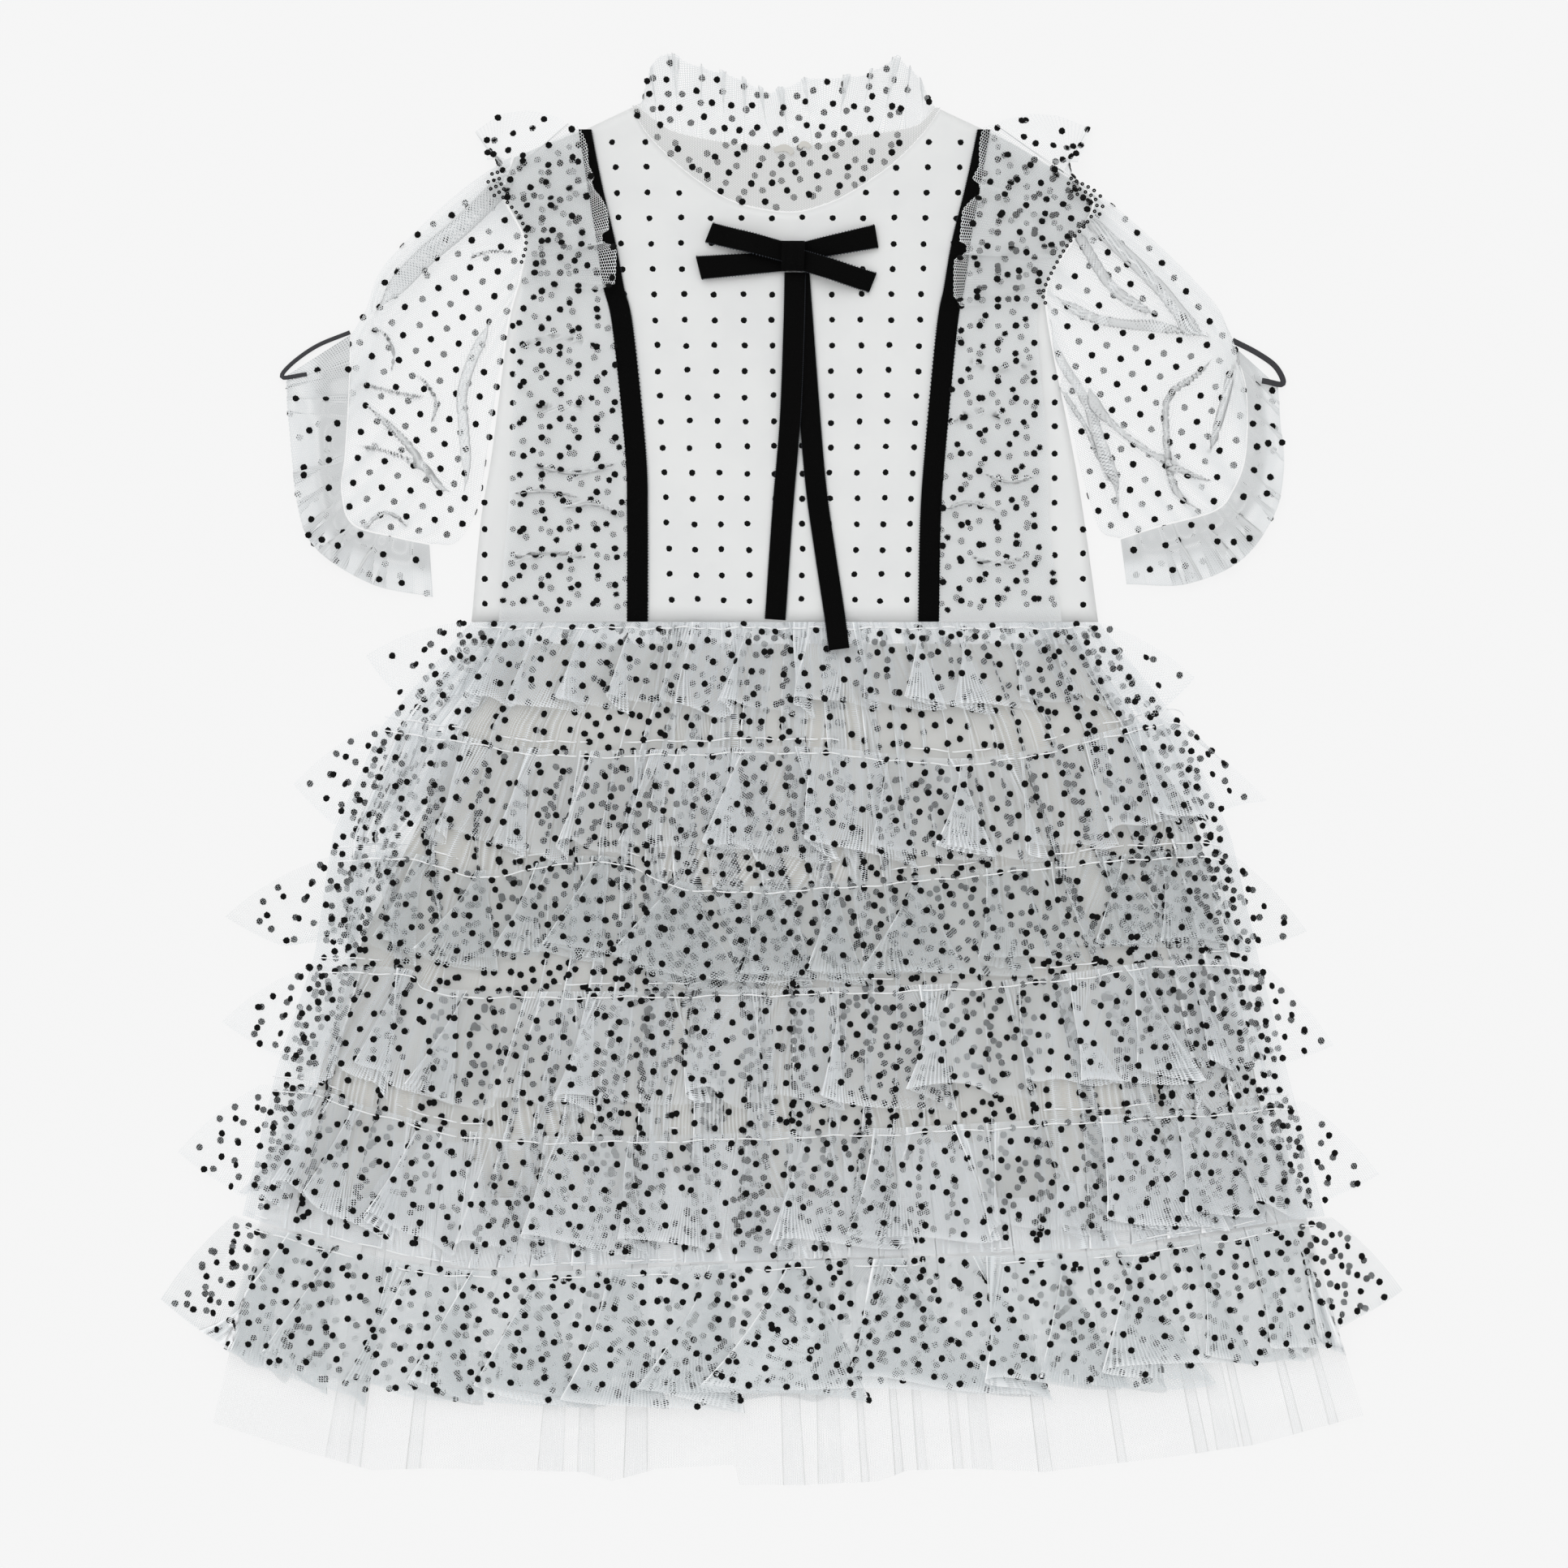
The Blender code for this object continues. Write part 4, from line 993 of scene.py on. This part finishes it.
def make_shoulder_ruffle(name, seam_points, edge_points):
    seam, edge = Line(seam_points), Line(edge_points, is_round=False)

    def spot(u, v):
        calm = in_between(u, 8)
        phase = SHOULDER_WAVES * u + 0.2 * np.sin(11 * u)
        lean = calm * (1.1 + 0.7 * np.sin(9 * u)) * smooth(1.5 * v)
        share = np.clip(u + slide(phase, SHOULDER_WAVES, lean), 0, 1)
        seam_x, seam_y = seam.by_point(mix(u, share, 0.5))
        edge_x, edge_y = edge.by_point(share)
        reach = v * (1 + 0.02 * v * calm * np.cos(2 * pi * phase + 0.9))
        x, y = mix(seam_x, edge_x, reach), mix(seam_y, edge_y, reach)
        lift = SHOULDER_WAVE * mix(0.3, 1, v) * wave(phase)
        fine = 0.35 * np.sin(2 * pi * 17 * u + 3 * v) * calm
        on_bodice = panel_height(x, y) + 2 * STEP + GATHER_DEPTH + SEAM
        past = smooth((y - SHOULDER_Y - 0.4 * (142 - abs(x)) - 4) / 12)
        return x, y, mix(on_bodice, STEP + CLOTH / 2, past) + lift + fine

    def cap_layers(u, v):
        on_velvet = smooth(8 * v - 5.9) * smooth(5.4 - 8 * u)
        ends = (u == 0) | (u == 1)
        return mix(0.62, 1.35, smooth(4 * u - 2.6)) + 0.8 * on_velvet + 2 * ends

    cap = Cloth("cap_ruffle_" + name, 180, 30, spot, TULLE, layers=cap_layers)
    is_under = name == "right"
    dots = [cap.add_dots(41, start=(5, 4), is_under=is_under),
            cap.add_dots(43, (21, 19), (10, 9), is_under=is_under, sunk=0.38)]
    lay(cap, "shoulder_ruffle_" + name, ["side_overlay_" + name])


# The sleeves

def patch(top, bottom, start, end, across, down):
    """A point inside four lines: across from top to bottom, down from start to end."""
    first, last = top.at(down), bottom.at(down)
    left, right = start.by_point(across), end.at(across)
    corners = [top.at(0), bottom.at(0), top.at(1), bottom.at(1)]
    found = []
    for axis in (0, 1):
        ruled = mix(first[axis], last[axis], across) + mix(left[axis], right[axis], down)
        at_start = mix(corners[0][axis], corners[1][axis], across)
        at_end = mix(corners[2][axis], corners[3][axis], across)
        found.append(ruled - mix(at_start, at_end, down))
    return found


SLEEVE_FOLDS = {
    # name: lines (x, y) along which the upper layer is folded over, half width
    "left": (
        (((-140, 326), (-150, 318), (-172, 296), (-192, 279), (-210, 260), (-228, 238)), 6.5),
        (((-156, 250), (-161, 236), (-168, 221), (-173, 203), (-172, 185), (-171, 158), (-178, 128)), 3.5),
        (((-226, 240), (-215, 236), (-210, 225), (-213, 208)), 1.3),
        (((-205, 218), (-193, 210), (-187, 198), (-192, 182)), 1.5),
        (((-234, 211), (-206, 204), (-188, 201)), 1.8),
        (((-234, 206), (-215, 189), (-202, 176), (-193, 164), (-184, 153), (-172, 150)), 2.8),
        (((-236, 177), (-215, 173), (-199, 166), (-184, 151)), 1.8),
        (((-232, 122), (-221, 136), (-211, 139), (-198, 127)), 1.6),
        (((-172, 276), (-158, 281), (-138, 280)), 1.5),
    ),
    "right": (
        (((160, 304), (172, 293), (202, 264), (220, 243), (238, 231)), 4.5),
        (((144, 260), (160, 249), (176, 243), (208, 239), (241, 232)), 3.6),
        (((156, 296), (163, 286), (177, 264), (192, 252), (215, 242)), 3.6),
        (((165, 212), (169, 203), (176, 191), (188, 180), (208, 167), (228, 158), (246, 157)), 2.4),
        (((240, 232), (227, 216), (210, 203), (208, 185), (211, 158), (219, 146), (240, 134)), 2.6),
        (((246, 226), (238, 194), (230, 166)), 3.0),
        (((144, 254), (150, 225), (163, 203), (174, 176), (181, 153), (183, 126)), 3.2),
        (((144, 222), (154, 203), (165, 185), (172, 169), (190, 134)), 1.8),
    ),
}
SLEEVE_GRAIN = radians(8)
FLOUNCE_FOLDS, FLOUNCE_LEAN = 7, 2.2


def tube_height(loft, rise):
    """The height of a flattened tube of cloth that is lofted by its puff."""
    return CLOTH / 2 + 0.5 * (CLOTH + SEAM + loft) * (1 + flattened(rise, 0.45))


def make_sleeve(name, side, top_points, cuff_points, underarm_points, edge_points):
    x, y = bodice_at(0 if side < 0 else LAST_COLUMN, np.arange(1, LAST_ROW - 2))
    armhole = Line([top_points[0], *zip(x + side * ARMHOLE_GAP, y), underarm_points[0]])
    top, underarm, cuff = Line(top_points), Line(underarm_points), Line(cuff_points)
    edge = Line(edge_points)
    folds = [(Line(points), width) for points, width in SLEEVE_FOLDS[name]]

    def laid(u, v):
        return patch(top, underarm, armhole, cuff, around(u)[0], v)

    def grain(u, v):
        x, y = laid(u, v)
        over, up = np.cos(SLEEVE_GRAIN), np.sin(SLEEVE_GRAIN)
        return x * over - y * up, x * up + y * over

    def puff_spot(u, v):
        across, rise = around(u)
        x, y = laid(u, v)
        puff = mix(np.sin(pi * across), v * np.sin(7 * pi * across) ** 2, 0.4)
        z = tube_height(SLEEVE_LOFT * puff * np.sin(pi * mix(0.12, 0.88, v)), rise)
        ends = in_between(across, 9)
        gather = smooth(5 * v - 4) * (1 - abs(2 * across - 0.5)) + smooth(1 - 6 * v) * 0.4
        z = z + ends * (rise > 0) * (gather * wave(15 * across) + 0.5 * wave(2.2 * across + v))
        for line, width in folds:
            x, y, lift, _ = fold_over(x, y, line, width, ends * smooth(6 * rise))
            z = z + lift
        return x, y, z

    def puff_layers(u, v):
        (across, rise), (x, y) = around(u), laid(u, v)
        gathers = wave(21 * u + np.sin(19 * u)) ** 3 * (smooth(4 * v - 2.7) + smooth(1 - 5 * v))
        crossed = sum(fold_over(x, y, *fold, smooth(6 * rise))[3] * fold[1] for fold in folds)
        # Striped bands of more net near the top fold, which darken it there: painted shade.
        shade_bands = smooth(1.7 - 4.5 * across) * (0.3 + wave(13 * across + 0.7 * np.sin(4 * v)))
        return 0.68 + 0.1 * side + 2.2 * gathers + 0.9 * shade_bands + 0.42 * crossed

    def flounce_spot(u, v):
        across, rise = around(u)
        phase = FLOUNCE_FOLDS * across + 0.3 * np.sin(9 * across) + (rise > 0) * 0.35
        ends = in_between(across, 6)
        lean = slide(phase, FLOUNCE_FOLDS, ends * FLOUNCE_LEAN)
        cuff_x, cuff_y = cuff.at(np.clip(across + 0.4 * lean, 0, 1))
        edge_x, edge_y = edge.by_point(np.clip(across + lean * smooth(2 * v), 0, 1))
        cuff_x = cuff_x + side * CUFF_GAP
        cuff_y = cuff_y - CUFF_GAP * smooth(2 * across - 0.6)
        z = tube_height(FLOUNCE_LOFT * v * np.sin(5 * pi * across) ** 2, rise)
        ripple = ends * 1.2 * wave(phase) * (rise > 0) * mix(0.5, 1, v)
        return mix(cuff_x, edge_x, v), mix(cuff_y, edge_y, v), z + ripple

    puff = Cloth("puff_sleeve_" + name, 330, 80, puff_spot, TULLE, is_tube=True,
                 flat_at=grain, layers=puff_layers)
    dots = puff.add_dots(51 + side, DOT_PITCH, is_under=side < 0)
    lay(puff, "sleeve_" + name, ["floor"])
    frill = Cloth("cuff_frill_" + name, 300, 20, flounce_spot, TULLE, is_tube=True,
                  layers=lambda u, v: 2.4 + 3.0 * smooth(2 - 2.8 * v))
    dots = frill.add_dots(54 + side, DOT_PITCH, (3, 4), is_under=side < 0)
    lay(frill, "cuff_flounce_" + name, ["floor"])


def make_elastic(name, route_points, width):
    route = Line(route_points)

    def spot(u, v):
        x, y = route.beside(v, width * (u - 0.5))
        return x, y, ELASTIC_HEIGHT + ELASTIC_CURL * smooth(6 * v - 4.4)

    band = Cloth("cuff_elastic_" + name, 4, 50, spot, ELASTIC, thickness=0.8)
    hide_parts("elastic_" + name)


# The bow

def make_bow_loop(name, knot_x, knot_top, knot_bottom, tip_top, tip_bottom, level):
    start_x = knot_x - (LOOP_TUCK if tip_top[0] > knot_x else -LOOP_TUCK)

    def spot(u, v):
        along, rise = around(v)
        x = mix(start_x, mix(tip_top[0], tip_bottom[0], u), along)
        y = mix(mix(knot_top, knot_bottom, u), mix(tip_top[1], tip_bottom[1], u), along)
        half = 0.5 * (CLOTH + SEAM + 1.2 * smooth(2 * along))
        middle = panel_height(x, y) + STEP + half + level * lookup(along, LOOP_STACK)
        return x, y, middle + half * flattened(rise, 0.5)

    velvet("loop_" + name, "bow_loop_" + name, 8, 96, spot, ["front_panel"])


def make_knot():
    def spot(u, v):
        over, up = np.cos(2 * pi * u), np.sin(2 * pi * u)
        x = mix(KNOT_LEFT - SEAM, KNOT_RIGHT + SEAM, v) + 0.25 * np.sin(4 * pi * u)
        y = mix(KNOT_BOTTOM, KNOT_TOP, 0.5) + KNOT_HALF * flattened(over, 0.6)
        loft = KNOT_LOFT + 0.35 * np.cos(2 * pi * 2.2 * v) * (up > 0)
        return x, y, panel_height(x, y) + STEP + KNOT_MIDDLE + loft * flattened(up, 0.7)

    velvet("bow_wrap", "bow_knot", 72, 12, spot, ["front_panel"], is_tube=True,
           has_picot=False)


def make_bow_tail(name, route_points, level):
    route = Line(route_points)

    def spot(u, v):
        x, y = route.beside(v, -RIBBON_WIDTH * (u - 0.5))
        over_tail = level * STEP * lookup(-y, TAIL_STACK)
        over_waist = (1 - level) * lookup(-y, TAIL_OVER_WAIST)
        z = panel_height(x, np.maximum(y, WAIST_Y)) + STEP + over_tail + over_waist
        return x, y, z + ribbon_crown(u)

    velvet("tail_" + name, "bow_tail_" + name, 8, 90, spot, ["front_panel"])


# The skirt

def skirt_spot(sides, top_y, hem, height):
    """A layer of the skirt between its side edges, from top_y down to hem(x)."""

    def spot(u, v):
        left, right = side_edges(sides, mix(top_y, hem(0), v))
        y = mix(top_y, hem(mix(left, right, u)), v)
        left, right = side_edges(sides, y)
        x = mix(left, right, u)
        return x, y, height(x, y, u)

    return spot


SKIRT_GATHERS = 27


def base_hem(x):
    return lookup(x, TIERS[-1][-1]) + 3 * SEAM


def make_skirt_base(name, level, height, lean, columns, rows):
    smooth_spot = skirt_spot(BASE_SIDES, WAIST_Y - SEAM / 2, base_hem, height)

    def spot(u, v):
        ends = in_between(u, 14)
        phase = SKIRT_GATHERS * u + ends * (0.5 * np.sin(17 * u + 3 * v) + 0.3 * np.sin(7 * v))
        over = lean * (0.7 + 0.5 * np.sin(13 * u + 2 * v + level))
        x, y, z = smooth_spot(np.clip(u + slide(phase, SKIRT_GATHERS, ends * over), 0, 1), v)
        return x, y, z + level * 1.3 * wave(phase) * ends

    base = Cloth("skirt_" + name, columns, rows, spot, SKIRT_TULLE, layers=1 + 0.35 * level)
    dots = [base.add_dots(61 + level, SKIRT_DOT_PITCH, (4, 6), is_under=level == 0, seam_gap=4)]
    if level:
        dots.append(base.add_dots(64, SKIRT_DOT_PITCH, (9, 1), seam_gap=4, sunk=0.2, top=0.24))
    lay(base, "skirt_base_" + name, ["floor"])


LINING_NOTCHES = (
    # left x, right x, rise of the hem there
    (-219, -206, 15), (-184, -163, 20), (150, 176, 8),
)


def lining_hem(x):
    rise = sum(depth * smooth((x - left) / 2 + 0.5) * smooth((right - x) / 2 + 0.5)
               for left, right, depth in LINING_NOTCHES)
    return PETTICOAT_SEAM_Y + SEAM + rise


def make_lining(name, level):
    def height(x, y, u):
        folds = 0.3 * np.sin(x / 21 + 2 * np.sin(y / 60)) + 0.2 * np.sin(x / 9 + y / 40)
        return base_back_height(y) + level * STEP + (level - 1) * folds * smooth(4 * u)

    spot = skirt_spot(LINING_SIDES, WAIST_Y - LINING_DROP, lining_hem, height)
    layer = Cloth("lining_" + name, 110, 30, spot, LINING, thickness=0.3, flat_at=from_above(spot))
    lay(layer, "skirt_lining_" + name, ["skirt_back"])


FRONT_PLEATS = (
    # place across in millimetres, half width of its fold
    (-219, 4), (-189, 4), (-102, 5), (-77, 6.5), (3, 6), (39, 2.5), (56, 2.5), (68, 3), (86, 3),
    (130, 4), (169, 3), (209, 3.5), (232, 3), (257, 3), (275, 3),
)
BACK_PLEATS = (
    # place across in millimetres, half width of its fold
    (-228, 6), (-120, 7), (22, 7), (98, 6), (222, 6),
)
# Half the width over which the pleats' places are stated, and the width of the step off a pleat
PLEAT_REACH, PLEAT_FALL = 290, 3


def pleat_table(pleats):
    """Length along the cloth, place across and height at each crease of pressed pleats."""
    table, run, last_x = [(0, -PLEAT_REACH, 0)], 0, -PLEAT_REACH
    for middle, half in pleats:
        run += middle - half - last_x
        table.append((run, middle - half, 0))
        for over, up in ((half, 0.25), (-half, 0.5), (half, 0.75)):
            run += 2 * half
            table.append((run, middle + over, up))
        run += PLEAT_FALL
        last_x = middle + half + PLEAT_FALL
        table.append((run, last_x, 0))
    table.append((run + PLEAT_REACH - last_x, PLEAT_REACH, 0))
    return np.array(table)


def make_petticoat(name, level, pleats):
    heights = [(share, height + CLOTH / 2) for share, height in PETTICOAT_DEPTHS]
    runs, places, stacks = pleat_table(pleats).T

    def spot(u, v):
        run = u * runs[-1]
        placed = np.interp(run, runs, places) / PLEAT_REACH
        across = mix(2 * u - 1, placed, 0.75 + 0.25 * v)
        across = np.clip(0.5 + across / 2, 0, 1)
        hem_x = mix(PETTICOAT_HEM[0][0], PETTICOAT_HEM[-1][0], across)
        x = mix(mix(-PETTICOAT_SIDE, PETTICOAT_SIDE, across), hem_x, v)
        y = mix(PETTICOAT_SEAM_Y + PETTICOAT_TUCK, lookup(hem_x, PETTICOAT_HEM), v)
        down = np.clip((PETTICOAT_SEAM_Y - y) / (PETTICOAT_SEAM_Y - PETTICOAT_LOW_Y), 0, 1)
        soft = 0.5 * wave(5 * across + 0.4 * v) * smooth(2 * v)
        stack = np.interp(run, runs, stacks) * mix(0.5, 1, v)
        return x, y, lookup(down, heights) + level * (STEP + soft) + stack

    layer = Cloth("petticoat_net_" + name, 480, 16, spot, PETTICOAT_NET,
                  layers=lambda u, v: 0.75 + PETTICOAT_GATHER * smooth(1.15 - 2.2 * v))
    lay(layer, "petticoat_" + name, ["lining_" + name])


VALLEYS = (
    # x of a place without folds in the tiers that have them, half width
    (-122, 11), (-29, 9), (80, 9),
)
# The tiers with valleys, counted from 0
VALLEY_TIERS = (3, 4)
# How far the folds of a back ruffle lean
BACK_LEAN = 1.2


def ruffle_spot(seam, drop, tips, waves, is_front, lean, fine_waves, seed):
    """One layer of a tier's ruffle: it fans out to the sides, and its folds lean over."""
    seam_y0 = seam.at(0)[1]
    tips = np.array(tips, float)

    def spot(u, v):
        calm = in_between(u, 21, 0.8)
        phase = waves * u + calm * 0.16 * np.sin(19 * u + seed) * v
        uneven_lean = 0.9 + 0.2 * np.sin(11 * u + 1.7 * seed) + 0.3 * np.sin(29 * u + seed)
        if is_front and seed in VALLEY_TIERS:
            for valley_x, half in VALLEYS:
                calm = calm * (1 - np.exp(-(((seam.at(u)[0] - valley_x) / half) ** 2)))
        over = lean * uneven_lean * mix(0.25, 1.15, v)
        fine_phase = fine_waves * u + 0.9 * np.sin(13 * u + seed) + 0.15 * v
        fine_lean = 1.9 * (1 - v) ** 1.5 * (0.8 + 0.5 * np.sin(37 * u + seed))
        share = u + slide(phase, waves, calm * over)
        share = share + slide(fine_phase, fine_waves, calm * fine_lean)
        across = share - 0.05 * np.sin(2 * pi * share) + 0.006 * np.sin(10 * pi * share)
        across = np.clip(across, 0, 1)
        seam_x, seam_y = seam.at(across)
        side = 2 * across - 1
        past = (abs(side) - TIP_START) / (1 - TIP_START)
        corners = np.where((side < 0)[..., None, None], tips[0], tips[1])
        flap = mix(corners[..., 0, :], corners[..., 1, :], np.clip(past, 0, 1)[..., None])
        tip_angle, tip_length = flap[..., 0], flap[..., 1]
        tip_angle = tip_angle * (1 + TIP_BULGE * (1 - v))
        in_tip = smooth(past * 9 + 0.5)
        angle = np.radians(mix(FAN_ANGLE * abs(side), tip_angle, in_tip)) * np.sign(side)
        length = mix(drop, tip_length, in_tip) * v
        uneven = 0.07 * np.sin(17 * u + seam_y0) * np.sin(41 * u)
        scallop = 0.085 * np.cos(2 * pi * phase) + 0.02 * np.cos(2 * pi * fine_phase)
        length = length * (1 + (uneven + scallop * v) * (1 - in_tip))
        x, y = seam_x + length * np.sin(angle), seam_y - length * np.cos(angle)
        rise = (0.12 + 0.88 * v**0.8) * wave(phase)
        if not is_front:
            return x, y, CLOTH / 2 + BACK_WAVE * rise + 0 * x
        height = FRONT_WAVE * (0.72 + 0.28 * np.sin(23 * u + seam_y0))
        rise = rise * mix(height, TIP_WAVE, np.clip(3 * past, 0, 1))
        pucker = mix(2.2, 0.3, v) * wave(fine_phase) * smooth(6 * v + 0.3) * calm
        return x, y, ruffle_ground(x, y) + rise + pucker

    return spot


def make_ruffle(index, seam, is_front):
    name, drop, front_waves, back_waves, lean, layers, is_dense_and_shaded, _ = TIERS[index]
    if is_front:
        face, seed, columns = "front", index + 7, 900
        spot = ruffle_spot(seam, drop, TIPS[index], front_waves, True, lean, 38, index)
    else:
        face, seed, columns = "back", index, 300
        spot = ruffle_spot(seam, drop, TIPS[index], back_waves, False, BACK_LEAN, 21, index + 7)

    def gathered_layers(u, v):
        slant = 2.2 * v * np.sin(23 * u + seed)
        patches = 61 * u + 2.1 * np.sin(17 * u + seed) + slant
        patches = mix(0.8, 1.25 if is_dense_and_shaded else 1.7, smooth(0.5 + 1.8 * np.sin(patches)))
        in_flap = smooth((abs(2 * u - 1) - TIP_START + 0.035) / 0.03)
        return layers * mix(patches, FLAP_SHARE, in_flap)

    # Densely gathered tiers take the darker net, whose colour is painted shade.
    net = SHADED_TULLE if is_dense_and_shaded else SKIRT_TULLE
    cloth = Cloth(f"tier_{index + 1}_{face}", columns, 13, spot, net, layers=gathered_layers)
    start = (2 + 3 * index % 8 + 6 * is_front, 4 + index % 3 + 5 * is_front)
    dots = [cloth.add_dots(70 + 2 * index + is_front, RUFFLE_DOT_PITCH, start,
                           is_under=not is_front, seam_gap=6)]
    if is_front and index == len(TIERS) - 1:
        dots.append(cloth.add_dots(90 + index, NET_DOT_PITCH, (11, 10), sunk=0.5, seam_gap=6))
    lay(cloth, f"{name}_{face}", [f"skirt_{face}"])
    return cloth.object


def make_tier(index):
    seam = Line(TIERS[index][-1])
    make_ruffle(index, seam, False)
    front = make_ruffle(index, seam, True)
    for place, away in STITCH_LINES:
        if index or place == "lower":
            stitches = f"tier_{index + 1}_{place}_stitching"
            add_stitch_line(stitches, seam, away, (bpy.data.objects["skirt_front"], front))


STITCH, STITCH_COUNT, STITCH_LENGTH = 0.7, 260, 7
STITCH_LINES = (
    # name, distance above the seam
    ("lower", -3.4), ("upper", 4.2),
)


def add_stitch_line(name, seam, away, cloths):
    """A line of sewing thread beside a seam, over the folds of the cloths under it."""
    low = np.concatenate([
        np.array([corner.co for corner in cloth.data.vertices]) / MM for cloth in cloths
    ])
    share = np.linspace(0.012, 0.988, STITCH_COUNT)
    x, y = seam.at(share)
    y = y + away + 0.5 * np.sin(60 * share) + 0.3 * np.sin(151 * share)
    z = []
    for place_x, place_y in zip(x, y):
        near = (abs(low[:, 0] - place_x) < 2.6) & (abs(low[:, 1] - place_y) < 2.2)
        z.append(low[near, 2].max() if near.any() else CLOTH)
    z = np.convolve(np.pad(z, 2, mode="edge"), np.ones(5) / 5, mode="valid") + 0.35
    points = np.concatenate([np.stack([x, y + STITCH / 2, z], axis=-1),
                             np.stack([x, y - STITCH / 2, z], axis=-1)])
    faces = [
        [STITCH_COUNT + place, STITCH_COUNT + place + 1, place + 1, place]
        for place in range(STITCH_COUNT - 1)
        if place % STITCH_LENGTH != STITCH_LENGTH - 1
    ]
    made = add_mesh(name, points, faces, THREAD)
    thicken(made, 0.25)


# Small sewn things

KNOT_CHAINS = (
    # name, route (x, y) along the armhole
    ("left", ((-157, 324), (-153, 313), (-141, 298), (-138, 285), (-141, 273))),
    ("right", ((153.5, 318), (170, 308), (165, 296), (156, 286), (149, 275), (141.5, 259), (143, 251))),
)
KNOT_SIZE, KNOT_PITCH, KNOT_ASIDE = 0.62, 3.4, 3.1
NECK_TAPES = (
    # name, line (x, y), width
    ("left", ((-4, 335.5), (1, 337), (4, 336), (6, 333.5)), 4.0),
    ("right", ((9.5, 337), (11.5, 339), (14, 338.5), (15.5, 337)), 3.2),
)


def make_knot_chain(name, route_points):
    """Small black rings of thread in a row, with a few beside it."""
    route = Line(route_points)
    count = int(route.length / KNOT_PITCH)
    share = (np.arange(count) + 0.5) / count
    z = panel_height(*route.at(share)) + 2 * STEP + 4.2
    places = []
    for aside, first, last in ((0, 0, 1), (KNOT_ASIDE, 0, 0.34), (-KNOT_ASIDE, 0.04, 0.24)):
        chosen = (share >= first) & (share < last)
        places.append(np.stack([*route.beside(share, aside), z], axis=-1)[chosen])
    places = np.concatenate(places)
    bpy.ops.object.select_all(action="DESELECT")
    bpy.ops.mesh.primitive_torus_add(
        major_radius=KNOT_SIZE * MM, minor_radius=0.75 * KNOT_SIZE * MM, major_segments=8,
        minor_segments=5,
    )
    ring = bpy.context.object
    corners = np.array([corner.co for corner in ring.data.vertices]) / MM
    quads = [list(face.vertices) for face in ring.data.polygons]
    bpy.data.objects.remove(ring)
    points = (corners[None] + places[:, None]).reshape(-1, 3)
    faces = copy_faces(quads, len(corners), len(places))
    add_mesh("armhole_knots_" + name, points, faces, FLOCK)


def make_neck_tape(name, route_points, width):
    """An end of tape at the top of the back opening."""
    route = Line(route_points)

    def spot(u, v):
        aside = width * (u - 0.5) * mix(0.6, 1, np.sin(pi * v))
        return *route.beside(v, aside), panel_height(*route.at(v)) + 1.2

    tape = Cloth("neck_tape_" + name, 6, 16, spot, LINING, thickness=0.5)


# Floor, light and camera

PICTURE_WIDTH = 0.850
PICTURE_MIDDLE = (0.0013, -0.0073)
CAMERA_HEIGHT = 2.6


def make_stage():
    bpy.ops.object.select_all(action="DESELECT")
    bpy.ops.mesh.primitive_plane_add(size=60, location=(0, 0, -0.0004))
    floor = bpy.context.object
    floor.name = "floor"
    paint = Paint("pale_floor", (0.10, 0.10, 0.10), 0.95, Emission_Strength=0.808)
    paint.set("Emission Color", (1, 1, 1, 1))
    floor.data.materials.append(paint.material)

    world = bpy.context.scene.world or bpy.data.worlds.new("studio")
    bpy.context.scene.world = world
    world.use_nodes = True
    sky = world.node_tree.nodes["Background"]
    sky.inputs["Color"].default_value = (1.0, 1.0, 1.0, 1)
    sky.inputs["Strength"].default_value = 0.80
    sun = bpy.data.objects.new("soft_key", bpy.data.lights.new("soft_key", "SUN"))
    sun.data.energy = 0.75
    sun.data.angle = radians(50)
    sun.rotation_euler = (radians(-38), radians(-22), 0)
    bpy.context.scene.collection.objects.link(sun)

    camera = bpy.data.objects.new("camera", bpy.data.cameras.new("camera"))
    camera.location = (*PICTURE_MIDDLE, CAMERA_HEIGHT)
    camera.data.sensor_width = 36
    camera.data.lens = 36 * CAMERA_HEIGHT / PICTURE_WIDTH
    bpy.context.scene.collection.objects.link(camera)
    bpy.context.scene.camera = camera
    bpy.context.scene.view_settings.view_transform = "Standard"
    bpy.context.scene.cycles.transparent_max_bounces = 24


make_stage()
make_bodice()
for yoke in YOKES:
    make_yoke(*yoke)
make_collar_ruffle("back", 0, BACK_WAVE)
make_collar_ruffle("front", 1, COLLAR_WAVE)
make_ribbon("left", LEFT_RIBBON)
make_ribbon("right", RIGHT_RIBBON)
make_overlay("left", LEFT_RIBBON, 0, 15)
make_overlay("right", RIGHT_RIBBON, LAST_COLUMN, 20)
for ruffle in SHOULDER_RUFFLES:
    make_shoulder_ruffle(*ruffle)
for sleeve in SLEEVES:
    make_sleeve(*sleeve)
for elastic in ELASTICS:
    make_elastic(*elastic)
for loop in BOW_LOOPS:
    make_bow_loop(*loop)
make_knot()
for tail in BOW_TAILS:
    make_bow_tail(*tail)
make_skirt_base("back", 0, lambda x, y, u: base_back_height(y), 1.4, 420, 30)
make_skirt_base("front", 1, lambda x, y, u: base_front_height(y, u), 3.8, 700, 44)
make_lining("back", 1)
make_lining("front", 2)
make_petticoat("back", 0, BACK_PLEATS)
make_petticoat("front", 1, FRONT_PLEATS)
for index in range(len(TIERS)):
    make_tier(index)
for chain in KNOT_CHAINS:
    make_knot_chain(*chain)
for tape in NECK_TAPES:
    make_neck_tape(*tape)

for name, width, length, area in CUTS:
    print(f"cut {name}: {width:.3f} x {length:.3f} m, {area:.4f} m2")
